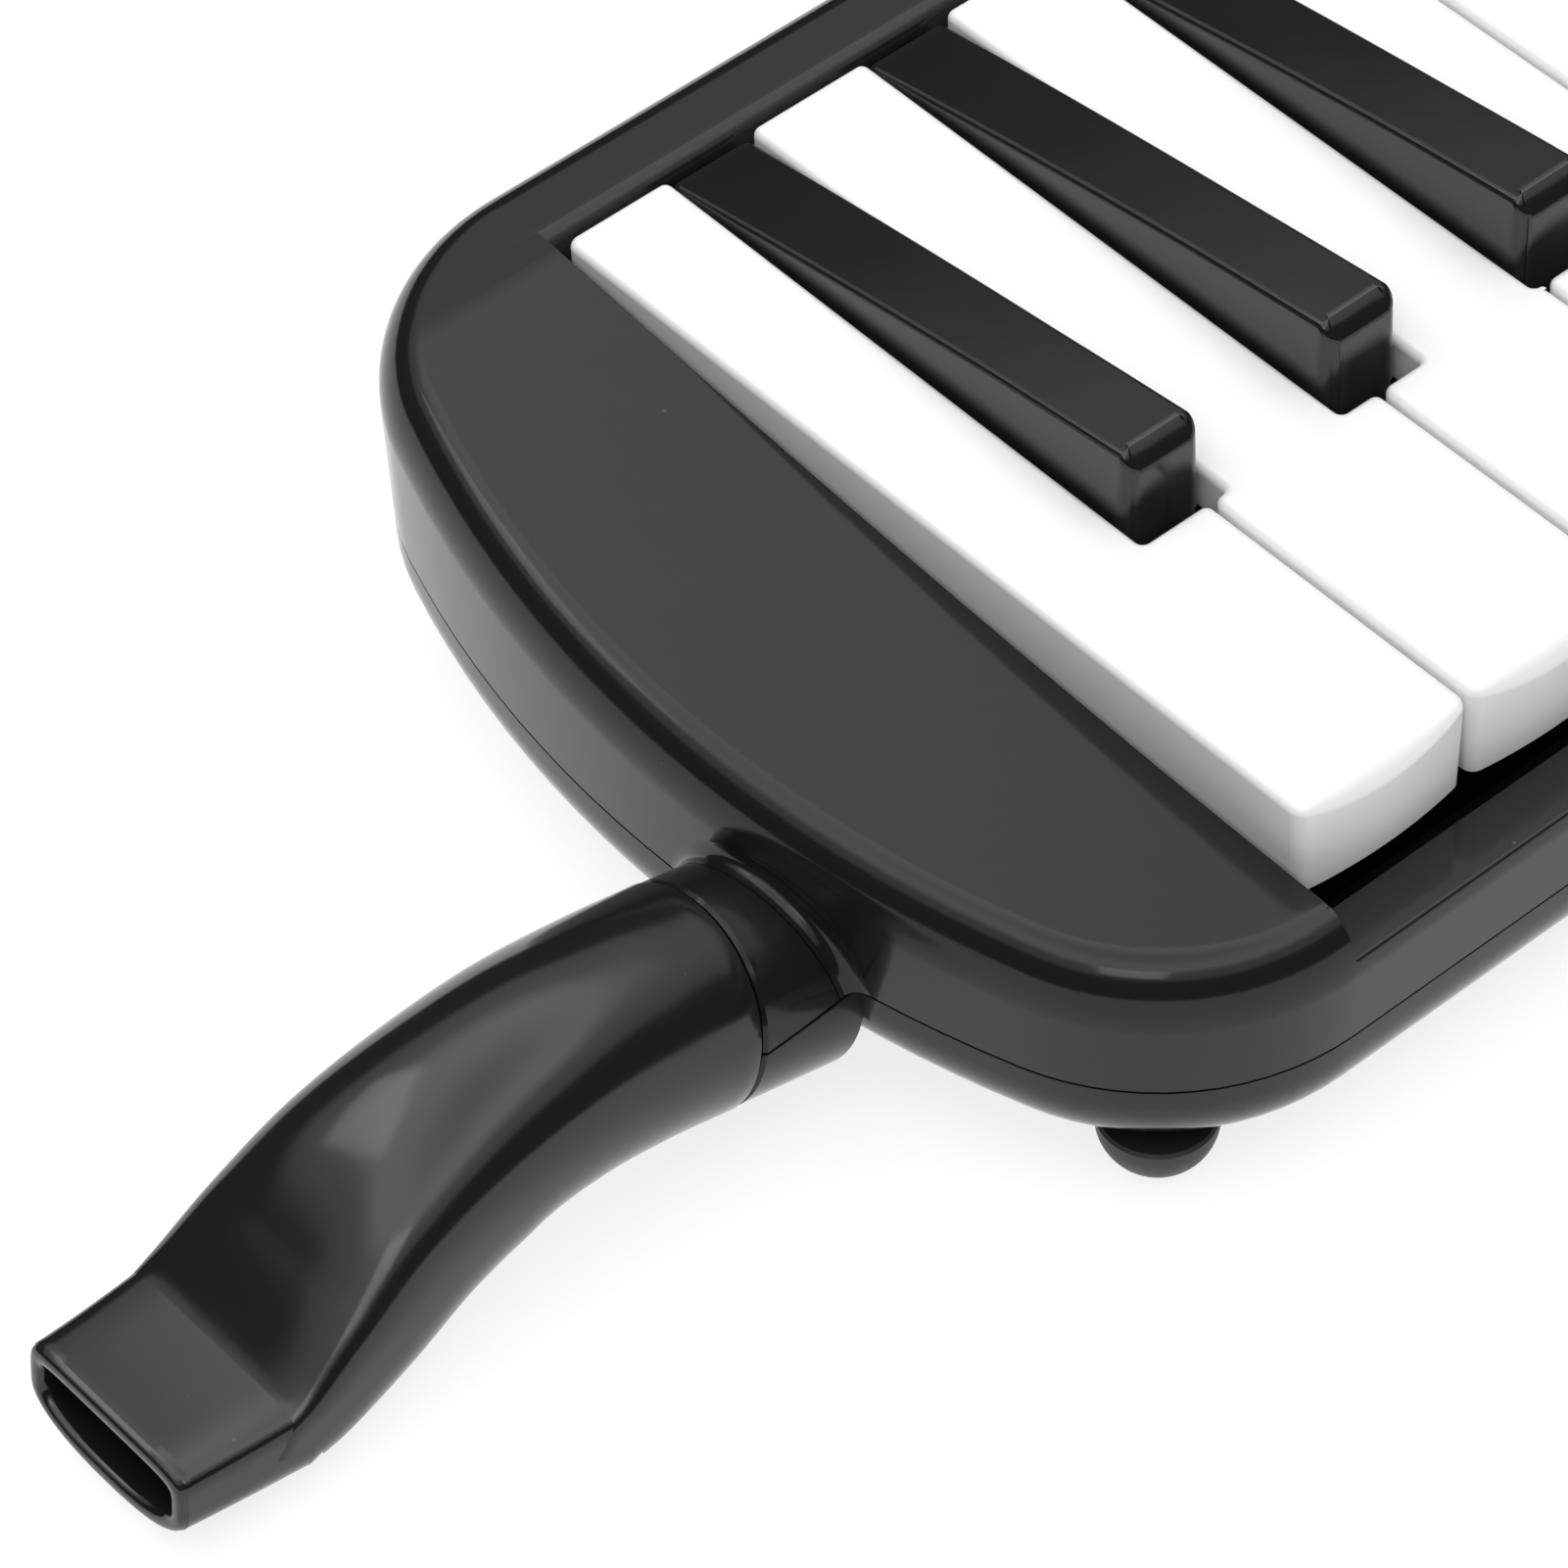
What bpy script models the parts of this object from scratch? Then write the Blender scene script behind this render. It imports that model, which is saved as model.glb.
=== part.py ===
"""A 32-key melodica, F3 to C6, as an assembly of separate pieces.

Frame: +X runs toward the high notes, -Y faces the player, +Z is up.
The origin is under the middle of the object's box, on the surface that it stands on.
Lengths are in metres; MM turns the millimetres of the drawing into metres.
"""

import math

import bmesh
import bpy
from mathutils import Vector

MM = 0.001

# ---------------------------------------------------------------- driving sizes, millimetres

GAP = 0.3                    # air left between pieces that touch
WHITE_PITCH = 19.2
WHITE_COUNT = 19
KEY_GAP = 0.6                # between neighbouring white keys
WHITE_LENGTH = 91.0
WHITE_DEPTH = 9.9            # height of a white key's front
TAIL_DEPTH = 4.5             # height of a key's sides beside and behind the black keys
WHITE_DRAFT = 0.35           # how much narrower a white key is at its lower edge, each side
BLACK_SLOT = 9.4             # width cut from the white keys for one black key
BLACK_WIDTH = 8.8
BLACK_LENGTH = 57.6
BLACK_RISE = 6.8             # a black key's front above the white keys
BLACK_SKIRT = 6.0            # its lower edge below the white keys' tops
BLACK_STEPS = 4
NOTCH_LENGTH = 59.7          # from the rear edge to the front of a black key's notch
BLACK_SHIFT = 0.37           # all black keys sit this far to the right of even spacing

# Key board datum: the rear left corner of the lowest white key's top.
KEYS_LEFT = -148.557
KEYS_REAR = 43.35
KEY_TOP = 35.2

# The hinge rod runs below the keys' tails; pads behind it close the wind chest.
ROD_Y = KEYS_REAR - 22.0
ROD_Z = KEY_TOP - 8.0
ROD_RADIUS = 1.0
HOOK_BORE = 1.1
HOOK_RADIUS = 2.4
HOOK_WIDTH = 5.0
PAD_Y = KEYS_REAR - 6.0
PAD_HALF = 2.6
PAD_REACH = 3.0
PAD_GAP = 2.8                # room for a pad between its arm and the chest

# Case. The shoulder line is the edge of the flat top, and the wall stands out from it.
KEYS_WIDTH = WHITE_PITCH * WHITE_COUNT
END_REACH = 25.1             # from the outer keys to the shoulder line's farthest point
SHOULDER_FRONT = KEYS_REAR - 93.9
SHOULDER_REAR = KEYS_REAR + 7.2
END_RADIUS = 113.0           # bow of the two ends
CORNER_RADIUS = 19.7
FLARE = 4.0                  # how far the wall stands out from the shoulder line
SHOULDER_DROP = 6.0          # height of the rounding from the flat top to the wall
WALL = 2.2
PARTING_Z = KEY_TOP - 19.7
PARTING_FLARE = 3.6
CASE_BOTTOM = KEY_TOP - 29.5
BOTTOM_ROUND = 8.0
ROUND_STEPS = 4              # facets in each rounding of the case
RAIL_TOP = KEY_TOP - 10.4    # the low rail in front of the keys
RAIL_REAR = KEYS_REAR - 92.4
RAIL_THICK = 2.4
SKIRT = 1.7                  # thickness of the walls beside the key board
SKIRT_STEPS = 5
WINDOW_LEFT = KEYS_LEFT - 0.5
WINDOW_RIGHT = KEYS_LEFT + KEYS_WIDTH + 0.5
PANEL_DROP = 5.8             # how far the top panel falls from the rear to the front
WINDOW_REAR = KEYS_REAR + 0.8

# Wind chest, reeds and lid, one above the other.
CHEST_LEFT = KEYS_LEFT + 2.0
CHEST_RIGHT = KEYS_LEFT + KEYS_WIDTH - 2.0
CHEST_FRONT = KEYS_REAR - 57.0
CHEST_STEP_FRONT = KEYS_REAR - 69.0
CHEST_REAR = KEYS_REAR + 2.8
CHEST_TOP = KEY_TOP - 11.5
CHEST_STEP_TOP = KEY_TOP - 15.6
CHEST_BOTTOM = KEY_TOP - 24.3
CHEST_WALL = 1.8
CELL_BOTTOM = KEY_TOP - 17.0
REED_PLATE = 1.0
REED_HALF = 1.5              # half the width of a reed's tongue
REED_SLIT = 0.4
PORT_HALF = 1.9
PORT_REACH = 2.2
LOWEST_REED = 40.0
HIGHEST_REED = 14.0
GASKET = 0.6
LID_TOP = CHEST_BOTTOM - GASKET - 2 * GAP
LID_BOTTOM = CASE_BOTTOM + WALL + 0.5

# Blow tube, collar and mouthpiece share one axis, tilted up toward the player.
COLLAR_TILT = math.radians(14.0)
SEAM = Vector((KEYS_LEFT - 36.6, KEYS_REAR - 57.7, KEY_TOP - 20.5))
COLLAR_RADIUS = 9.8
COLLAR_BORE = 7.9
COLLAR_FLOOR = KEY_TOP - 30.2
SPIGOT_RADIUS = 4.6
SPIGOT_BORE = 3.4
SPIGOT_REACH = 12.0
DUCT_Z = KEY_TOP - 20.3
SLEEVE_INNER = 4.68
SLEEVE_OUTER = 5.28
SOCKET_RADIUS = 5.4
SOCKET_DEPTH = 13.5
SEAL_START = 2.0
SEAL_STOP = 10.0

FOOT_RADIUS = 5.2
FOOT_FLAT = 2.2              # radius of the flat that stands on the table
FOOT_STEM = 1.8
FOOT_INSET_X = 11.0          # from the outer keys to a foot's centre
FOOT_INSET_Y = 7.6           # from the shoulder line to a foot's centre
SCREW_INSET = 9.5            # from the outer keys to a case screw
SCREW_ROWS = (-74.0, -30.0, -13.0)   # behind or before the keys' rear edge
SCREW_HEAD = 3.0
SCREW_TIP = CASE_BOTTOM + 15.1
POST_RADIUS = 3.4

# Felt down stops: the white keys' one lies on a rib of the case, the black keys' on the chest.
STOP_RIB_TOP = KEY_TOP - 16.6
FELT = 2.2
BLACK_FELT = 1.8

# A second rib closes the gap below the white keys' fronts.
FRONT_RIB_FRONT = 88.2
FRONT_RIB_REAR = 85.6
FRONT_RIB_TOP = KEY_TOP - 15.0

# Drain valve: a sprung cap below the case, with a stem up to a washer inside the chest.
DRAIN_X = KEYS_LEFT + KEYS_WIDTH - 12.0
DRAIN_Y = KEYS_REAR - 30.0
DRAIN_CAP = 4.5
DRAIN_CUP = 3.7              # inside radius of the cap, where the spring sits
DRAIN_STEM = 1.5
DRAIN_LOW = CASE_BOTTOM - 2.2
DRAIN_FLOOR = 1.0
DRAIN_HEIGHT = 2.6
SPRING_COIL = 2.6
SPRING_WIRE = 0.2
SPRING_TURNS = 3
DRAIN_SEAL = 3.2             # outside radius of the washer

WHITE_NAMES = ("F", "G", "A", "B", "C", "D", "E")
BLACK_OFFSETS = {"F": -3.2, "G": 0.0, "A": 3.2, "C": -1.6, "D": 1.6}


# ---------------------------------------------------------------- materials

def plastic(name, colour, roughness, metallic=0.0):
    material = bpy.data.materials.new(name)
    material.use_nodes = True
    shader = material.node_tree.nodes["Principled BSDF"]
    shader.inputs["Base Color"].default_value = (*colour, 1.0)
    shader.inputs["Roughness"].default_value = roughness
    shader.inputs["Metallic"].default_value = metallic
    return material


# ---------------------------------------------------------------- mesh helpers

def add_object(name, mesh, material):
    thing = bpy.data.objects.new(name, mesh)
    bpy.context.scene.collection.objects.link(thing)
    mesh.materials.clear()
    mesh.materials.append(material)
    mesh.shade_smooth()
    mesh.set_sharp_from_angle(angle=math.radians(35))
    return thing


def solid(name, points, faces, material, origin=(0.0, 0.0, 0.0)):
    """A closed mesh from points in millimetres; its origin is set at the given point."""
    builder = bmesh.new()
    base = Vector(origin)
    corners = [builder.verts.new((Vector(point) - base) * MM) for point in points]
    for face in faces:
        builder.faces.new([corners[index] for index in face])
    bmesh.ops.recalc_face_normals(builder, faces=builder.faces)
    mesh = bpy.data.meshes.new(name)
    builder.to_mesh(mesh)
    builder.free()
    thing = add_object(name, mesh, material)
    thing.location = base * MM
    return thing


def loft(name, rings, material, origin=(0.0, 0.0, 0.0), tube=False):
    """Rings of equal length joined in order. A tube's last ring joins back to its first."""
    count = len(rings[0])
    points = [point for ring in rings for point in ring]
    faces = []
    last = len(rings) if tube else len(rings) - 1
    for level in range(last):
        lower = level * count
        upper = ((level + 1) % len(rings)) * count
        for index in range(count):
            after = (index + 1) % count
            faces.append((lower + index, lower + after, upper + after, upper + index))
    if not tube:
        faces.append(tuple(range(count)))
        faces.append(tuple(range((len(rings) - 1) * count, len(rings) * count)))
    return solid(name, points, faces, material, origin)


def box(name, low, high, material, origin=(0.0, 0.0, 0.0)):
    ring = ((low[0], low[1]), (high[0], low[1]), (high[0], high[1]), (low[0], high[1]))
    rings = [[(x, y, z) for x, y in ring] for z in (low[2], high[2])]
    return loft(name, rings, material, origin)


def boxes(name, spans, material):
    """Several separate boxes in one mesh, for use as one cutter."""
    points, faces = [], []
    for low, high in spans:
        first = len(points)
        for z in (low[2], high[2]):
            points += [(low[0], low[1], z), (high[0], low[1], z)]
            points += [(high[0], high[1], z), (low[0], high[1], z)]
        faces += [tuple(first + corner for corner in face) for face in (
            (3, 2, 1, 0), (4, 5, 6, 7), (0, 1, 5, 4), (1, 2, 6, 5), (2, 3, 7, 6), (3, 0, 4, 7))]
    return solid(name, points, faces, material)


def prisms(name, bases, material):
    """Several separate prisms in one mesh. Each base is a pair of matching outlines."""
    points, faces = [], []
    for first_outline, second_outline in bases:
        start, count = len(points), len(first_outline)
        points += [*first_outline, *second_outline]
        faces.append(tuple(range(start, start + count)))
        faces.append(tuple(range(start + count, start + 2 * count)))
        for corner in range(count):
            here = start + corner
            after = start + (corner + 1) % count
            faces.append((here, after, after + count, here + count))
    return solid(name, points, faces, material)


def circle(centre, radius, axis, sides, turn=0.0):
    """Points round a centre, in the plane square to the axis."""
    axis = Vector(axis).normalized()
    across = axis.orthogonal().normalized()
    if abs(axis.z) < 0.9:
        across = Vector((0.0, 0.0, 1.0)).cross(axis).normalized()
    along = axis.cross(across)
    angles = [turn + 2 * math.pi * step / sides for step in range(sides)]
    return [Vector(centre) + radius * (math.cos(a) * across + math.sin(a) * along) for a in angles]


def turned(name, centre, axis, profile, sides, material, origin=(0.0, 0.0, 0.0), tube=False):
    """A round piece: profile is (distance along the axis, radius) from one end to the other."""
    direction = Vector(axis).normalized()
    rings = [circle(Vector(centre) + direction * reach, radius, direction, sides)
             for reach, radius in profile]
    return loft(name, rings, material, origin, tube)


def upright(name, place, low, high, radius, sides, material):
    """A plain round bar standing at an (x, y) place."""
    return turned(name, (*place, 0.0), (0, 0, 1), ((low, radius), (high, radius)), sides, material)


def side_plate(name, outline, x_low, x_high, material, origin=(0.0, 0.0, 0.0)):
    """An outline in (y, z) given thickness along X."""
    rings = [[(x, y, z) for y, z in outline] for x in (x_low, x_high)]
    return loft(name, rings, material, origin)


def combine(target, tool, operation):
    modifier = target.modifiers.new("shape", "BOOLEAN")
    modifier.operation = operation
    modifier.solver = "EXACT"
    modifier.object = tool
    graph = bpy.context.evaluated_depsgraph_get()
    mesh = bpy.data.meshes.new_from_object(target.evaluated_get(graph))
    target.modifiers.clear()
    target.data = mesh
    bpy.data.objects.remove(tool)
    return target


def cut(target, *tools):
    for tool in tools:
        combine(target, tool, "DIFFERENCE")
    return target


def join(target, *tools):
    for tool in tools:
        combine(target, tool, "UNION")
    return target


# ---------------------------------------------------------------- case outline

def half_outline(corner_steps=5, end_steps=6):
    """Left half of the shoulder line, front to rear: (point, outward direction)."""
    middle_y = (SHOULDER_FRONT + SHOULDER_REAR) / 2
    end_centre = Vector((KEYS_LEFT - END_REACH + END_RADIUS, middle_y))
    corner_y = SHOULDER_FRONT + CORNER_RADIUS
    reach = END_RADIUS - CORNER_RADIUS
    corner_x = end_centre.x - math.sqrt(reach ** 2 - (middle_y - corner_y) ** 2)
    front_corner = Vector((corner_x, corner_y))
    rear_corner = Vector((corner_x, 2 * middle_y - corner_y))
    swing = math.asin((middle_y - corner_y) / reach)
    outline = []

    def arc(centre, radius, start, stop, steps):
        for step in range(steps + 1):
            angle = start + (stop - start) * step / steps
            outward = Vector((math.cos(angle), math.sin(angle)))
            outline.append((centre + radius * outward, outward))

    arc(front_corner, CORNER_RADIUS, 1.5 * math.pi, math.pi + swing, corner_steps)
    arc(end_centre, END_RADIUS, math.pi + swing, math.pi - swing, end_steps)
    arc(rear_corner, CORNER_RADIUS, math.pi - swing, 0.5 * math.pi, corner_steps)
    return [item for index, item in enumerate(outline)
            if index not in (corner_steps + 1, corner_steps + end_steps + 2)]


def case_ring(flare, height):
    """The shoulder line moved outward by a flare, at a height given as a function of y."""
    mirror = 2 * KEYS_LEFT + KEYS_WIDTH
    left = [(point + outward * flare, point.y) for point, outward in half_outline()]
    ring = [(place.x, place.y, height(y)) for place, y in left]
    ring += [(mirror - place.x, place.y, height(y)) for place, y in reversed(left)]
    return ring


def case_solid(name, levels, material):
    """Rings from the bottom up. The two caps are strips from left to right."""
    rings = [case_ring(flare, height) for flare, height in levels]
    count = len(rings[0])
    points = [point for ring in rings for point in ring]
    faces = []
    for level in range(len(rings) - 1):
        base = level * count
        for index in range(count):
            after = (index + 1) % count
            faces.append((base + index, base + after, base + count + after, base + count + index))
    for base in (0, (len(rings) - 1) * count):
        for index in range(count // 2 - 1):
            mate = base + count - 1 - index
            faces.append((base + index, base + index + 1, mate - 1, mate))
    return solid(name, points, faces, material)


def panel_height(y):
    """Top of the case: almost level with the keys at the rear, lower and flatter at the front."""
    forward = min(1.0, max(0.0, (KEYS_REAR - y) / (KEYS_REAR - SHOULDER_FRONT)))
    return KEY_TOP - 0.6 - PANEL_DROP * (1.0 - (1.0 - forward) ** 1.7)


def top_levels(depth):
    """Levels of the top case's outer surface, or of its inner one at the given depth."""
    levels = [(PARTING_FLARE - depth, lambda y: PARTING_Z - 1.0 - depth)]
    for step in range(ROUND_STEPS, -1, -1):
        angle = math.pi / 2 * step / ROUND_STEPS
        flare = FLARE * math.sin(angle) - depth
        drop = SHOULDER_DROP * (1.0 - math.cos(angle)) + depth
        levels.append((flare, lambda y, drop=drop: panel_height(y) - drop))
    return levels


def bottom_levels(depth):
    """Levels of the bottom case, from its flat floor to just past the parting plane."""
    levels = []
    for step in range(ROUND_STEPS + 1):
        angle = math.pi / 2 * step / ROUND_STEPS
        flare = PARTING_FLARE - BOTTOM_ROUND * (1.0 - math.sin(angle)) - depth
        height = CASE_BOTTOM + BOTTOM_ROUND * (1.0 - math.cos(angle)) + depth
        levels.append((flare, lambda y, height=height: height))
    levels.append((PARTING_FLARE - depth, lambda y: PARTING_Z + 1.0 + depth))
    return levels


# ---------------------------------------------------------------- collar and mouthpiece axis

AXIS_OUT = Vector((-math.cos(COLLAR_TILT), 0.0, math.sin(COLLAR_TILT)))


def collar_shape(name, radius, floor, start, stop, material):
    """A round bar on the mouthpiece axis with its underside cut level at the given floor."""
    shape = turned(name, SEAM, AXIS_OUT, ((start, radius), (stop, radius)), 28, material)
    below = box("below", (SEAM.x - 40, SEAM.y - 30, floor - 40),
                (SEAM.x + 40, SEAM.y + 30, floor), material)
    return cut(shape, below)


def collar(material):
    return collar_shape("collar", COLLAR_RADIUS, COLLAR_FLOOR, -10.8, 0.0, material)


def collar_bore(material):
    return collar_shape("bore", COLLAR_BORE, COLLAR_FLOOR + 1.6, -19.0, 4.0, material)


def half_space(low, high, material):
    """A block wider than the case, to cut it at its parting plane."""
    return box("half_space", (-400.0, -200.0, low), (400.0, 200.0, high), material)


def skirt_outline():
    """A wall down each side of the key board, from the panel to the rail, in (y, z)."""
    rear = WINDOW_REAR + 1.0
    run = [rear - (rear + 1.0 - RAIL_REAR) * step / SKIRT_STEPS for step in range(SKIRT_STEPS + 1)]
    floor = RAIL_TOP - RAIL_THICK + 0.5
    return [(y, panel_height(y) - 1.0) for y in run] + [(run[-1], floor), (run[0], floor)]


def build_top_case(material):
    case = case_solid("top_case", top_levels(0.0), material)
    cut(case, case_solid("hollow", top_levels(WALL), material))
    rail = box("rail", (WINDOW_LEFT - 3.0, SHOULDER_FRONT - FLARE + 1.2, RAIL_TOP - RAIL_THICK),
               (WINDOW_RIGHT + 3.0, RAIL_REAR, RAIL_TOP + 1.5), material)
    skirts = [side_plate("skirt", skirt_outline(), x_low, x_low + SKIRT, material)
              for x_low in (WINDOW_LEFT - SKIRT + 0.1, WINDOW_RIGHT - 0.1)]
    rear = box("rear", (WINDOW_LEFT - 1.5, WINDOW_REAR - 0.1, KEY_TOP - 6.0),
               (WINDOW_RIGHT + 1.5, WINDOW_REAR + 1.5, KEY_TOP - 1.4), material)
    posts = [upright("post", (x, y), CASE_BOTTOM + WALL + GAP, panel_height(y) - 1.0,
                     POST_RADIUS, 12, material) for x, y in screw_places()]
    join(case, collar(material), rail, *skirts, rear)
    cut(case, half_space(PARTING_Z - 100.0, PARTING_Z + GAP / 2, material))
    join(case, *posts)
    window = box("window", (WINDOW_LEFT, RAIL_REAR, CASE_BOTTOM),
                 (WINDOW_RIGHT, WINDOW_REAR, KEY_TOP + 20.0), material)
    recess = box("recess", (WINDOW_LEFT, SHOULDER_FRONT - 20.0, RAIL_TOP),
                 (WINDOW_RIGHT, RAIL_REAR + 5.0, KEY_TOP + 20.0), material)
    bores = [upright("bore", place, CASE_BOTTOM - 5.0, SCREW_TIP + 0.4, 1.5, 10, material)
             for place in screw_places()]
    return cut(case, window, recess, collar_bore(material), *bores)


def build_bottom_case(material):
    case = case_solid("bottom_case", bottom_levels(0.0), material)
    cut(case, case_solid("hollow", bottom_levels(WALL), material))
    low, high = KEYS_LEFT + 1.0, KEYS_LEFT + KEYS_WIDTH - 1.0
    stop_rib = box("rib", (low, KEYS_REAR - 83.0, CASE_BOTTOM + 1.0),
                   (high, KEYS_REAR - 80.0, STOP_RIB_TOP), material)
    front_rib = box("rib", (low, KEYS_REAR - FRONT_RIB_FRONT, CASE_BOTTOM + 1.0),
                    (high, KEYS_REAR - FRONT_RIB_REAR, FRONT_RIB_TOP), material)
    join(case, stop_rib, front_rib, collar(material))
    cut(case, half_space(PARTING_Z - GAP / 2, PARTING_Z + 100.0, material))
    seats = ((-3.0, SCREW_HEAD + GAP), (0.9, SCREW_HEAD + GAP), (0.9, 1.8), (5.0, 1.8))
    holes = [turned("hole", (x, y, CASE_BOTTOM), (0, 0, 1), seats, 12, material)
             for x, y in screw_places()]
    stems = [upright("hole", place, CASE_BOTTOM - 3.0, CASE_BOTTOM + 5.0,
                     FOOT_STEM + GAP, 10, material) for place in foot_places()]
    drain = upright("hole", (DRAIN_X, DRAIN_Y), CASE_BOTTOM - 3.0, CASE_BOTTOM + 5.0,
                    DRAIN_CAP + 0.35, 20, material)
    return cut(case, collar_bore(material), *holes, *stems, drain)


# ---------------------------------------------------------------- fasteners and feet

def screw_places():
    left = KEYS_LEFT - SCREW_INSET
    right = KEYS_LEFT + KEYS_WIDTH + SCREW_INSET
    return [(x, KEYS_REAR + y) for x in (left, right) for y in SCREW_ROWS]


def foot_places():
    left = KEYS_LEFT - FOOT_INSET_X
    right = KEYS_LEFT + KEYS_WIDTH + FOOT_INSET_X
    front = SHOULDER_FRONT + FOOT_INSET_Y
    rear = SHOULDER_REAR - FOOT_INSET_Y
    return [(x, y) for x in (left, right) for y in (front, rear)]


def build_feet(material):
    """A round dome with a small flat to stand on, and a stem through the case floor."""
    start = math.acos(FOOT_FLAT / FOOT_RADIUS)
    depth = FOOT_RADIUS * math.sin(start)
    steps = 4
    profile = []
    for step in range(steps + 1):
        angle = start * (1.0 - step / steps)
        profile.append((depth - FOOT_RADIUS * math.sin(angle), FOOT_RADIUS * math.cos(angle)))
    top = CASE_BOTTOM - GAP
    profile += [(top, FOOT_RADIUS), (top, FOOT_STEM), (CASE_BOTTOM + WALL + 0.8, FOOT_STEM)]
    for (x, y), name in zip(foot_places(), ("front_left", "rear_left", "front_right", "rear_right")):
        turned("foot_" + name, (x, y, 0.0), (0, 0, 1), profile, 16, material)


def build_screws(material):
    low = CASE_BOTTOM - 0.4
    head = CASE_BOTTOM + 0.6
    profile = ((low, SCREW_HEAD - 0.4), (low + 0.5, SCREW_HEAD), (head, SCREW_HEAD),
               (head, 1.2), (SCREW_TIP, 1.2))
    for index, (x, y) in enumerate(screw_places()):
        turned("case_screw_%d" % (index + 1), (x, y, 0.0), (0, 0, 1), profile, 12, material)


# ---------------------------------------------------------------- keys

def white_name(index):
    return WHITE_NAMES[index % 7]


def white_octave(index):
    return 3 + (index + 3) // 7


def black_centre(index):
    """Middle of the black key to the right of a white key, or None where there is none."""
    offset = BLACK_OFFSETS.get(white_name(index))
    if offset is None or not 0 <= index < WHITE_COUNT - 1:
        return None
    return KEYS_LEFT + (index + 1) * WHITE_PITCH + offset + BLACK_SHIFT


def white_plan(index):
    """Corners of a white key's top, anticlockwise from the front left."""
    left = KEYS_LEFT + index * WHITE_PITCH + KEY_GAP / 2
    right = KEYS_LEFT + (index + 1) * WHITE_PITCH - KEY_GAP / 2
    front = KEYS_REAR - WHITE_LENGTH
    notch = KEYS_REAR - NOTCH_LENGTH
    plan = [(left, front), (right, front)]
    after = black_centre(index)
    if after is not None:
        plan += [(right, notch), (after - BLACK_SLOT / 2, notch), (after - BLACK_SLOT / 2, KEYS_REAR)]
    else:
        plan += [(right, KEYS_REAR)]
    before = black_centre(index - 1)
    if before is not None:
        plan += [(before + BLACK_SLOT / 2, KEYS_REAR), (before + BLACK_SLOT / 2, notch), (left, notch)]
    else:
        plan += [(left, KEYS_REAR)]
    return plan


def tail_middle(index):
    before, after = black_centre(index - 1), black_centre(index)
    left = before + BLACK_SLOT / 2 if before is not None else KEYS_LEFT + index * WHITE_PITCH
    right = after - BLACK_SLOT / 2 if after is not None else KEYS_LEFT + (index + 1) * WHITE_PITCH
    return (left + right) / 2


def inset(plan, distance):
    """A plan of square corners moved inward by a distance."""
    count = len(plan)
    moved = []
    for index in range(count):
        before, here, after = (Vector(plan[(index + step) % count]) for step in (-1, 0, 1))
        inward_in = Vector((-(here - before).y, (here - before).x)).normalized()
        inward_out = Vector((-(after - here).y, (after - here).x)).normalized()
        moved.append(here + distance * (inward_in + inward_out))
    return moved


def hook_outline(top):
    """The clip that snaps over the hinge rod, open below, with a web up to the key."""
    opening = math.radians(38.0)
    outer = [(ROD_Y + HOOK_RADIUS * math.sin(angle), ROD_Z - HOOK_RADIUS * math.cos(angle))
             for angle in (opening, math.radians(80.0), math.radians(120.0))]
    inner = []
    steps = 8
    for step in range(steps + 1):
        angle = -opening - (2 * math.pi - 2 * opening) * step / steps
        inner.append((ROD_Y + HOOK_BORE * math.sin(angle), ROD_Z - HOOK_BORE * math.cos(angle)))
    left = [(2 * ROD_Y - y, z) for y, z in reversed(outer)]
    web = [(ROD_Y + 3.4, top), (ROD_Y - 3.4, top)]
    return outer + web + left + inner


def lever(key, middle, top, pad_top, material):
    """The clip and the pad arm that a key carries below it."""
    clip = side_plate("clip", hook_outline(top), middle - HOOK_WIDTH / 2,
                      middle + HOOK_WIDTH / 2, material)
    arm = box("arm", (middle - PAD_HALF, PAD_Y - PAD_REACH, pad_top),
              (middle + PAD_HALF, PAD_Y + PAD_REACH, top), material)
    return join(key, clip, arm)


def build_white_key(index, material):
    """A cap hollow from below: outer rings from the lower edge up, then the hollow's rings."""
    plan = white_plan(index)
    walls = ((1.8, WHITE_DEPTH), (WHITE_DRAFT, WHITE_DEPTH), (0.0, 0.9), (0.8, 0.0), (1.6, 2.0))
    rings = [[(x, y, KEY_TOP - depth) for x, y in inset(plan, side)] for side, depth in walls]
    points = [point for ring in rings for point in ring]
    count = len(plan)
    faces = [tuple(range(3 * count, 4 * count)), tuple(range(4 * count, 5 * count))]
    for low, high in ((0, 1), (1, 2), (2, 3), (0, 4)):
        for corner in range(count):
            after = (corner + 1) % count
            faces.append((low * count + corner, low * count + after,
                          high * count + after, high * count + corner))
    name = "key_%s%d" % (white_name(index), white_octave(index))
    key = solid(name, points, faces, material, (tail_middle(index), ROD_Y, ROD_Z))
    left = KEYS_LEFT + index * WHITE_PITCH - 1.0
    trim = box("trim", (left, KEYS_REAR - NOTCH_LENGTH + 2.5, KEY_TOP - 20.0),
               (left + WHITE_PITCH + 2.0, KEYS_REAR + 1.0, KEY_TOP - TAIL_DEPTH), material)
    cut(key, trim)
    return lever(key, tail_middle(index), KEY_TOP - 1.4, CHEST_TOP + PAD_GAP, material)


def black_top(y):
    """Height of a black key's top: level with the white keys at the rear, high at the front."""
    forward = (KEYS_REAR - y) / (BLACK_LENGTH - 1.6)
    return KEY_TOP - 1.0 + (BLACK_RISE + 1.0) * (1.22 * forward - 0.22 * forward ** 2)


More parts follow.
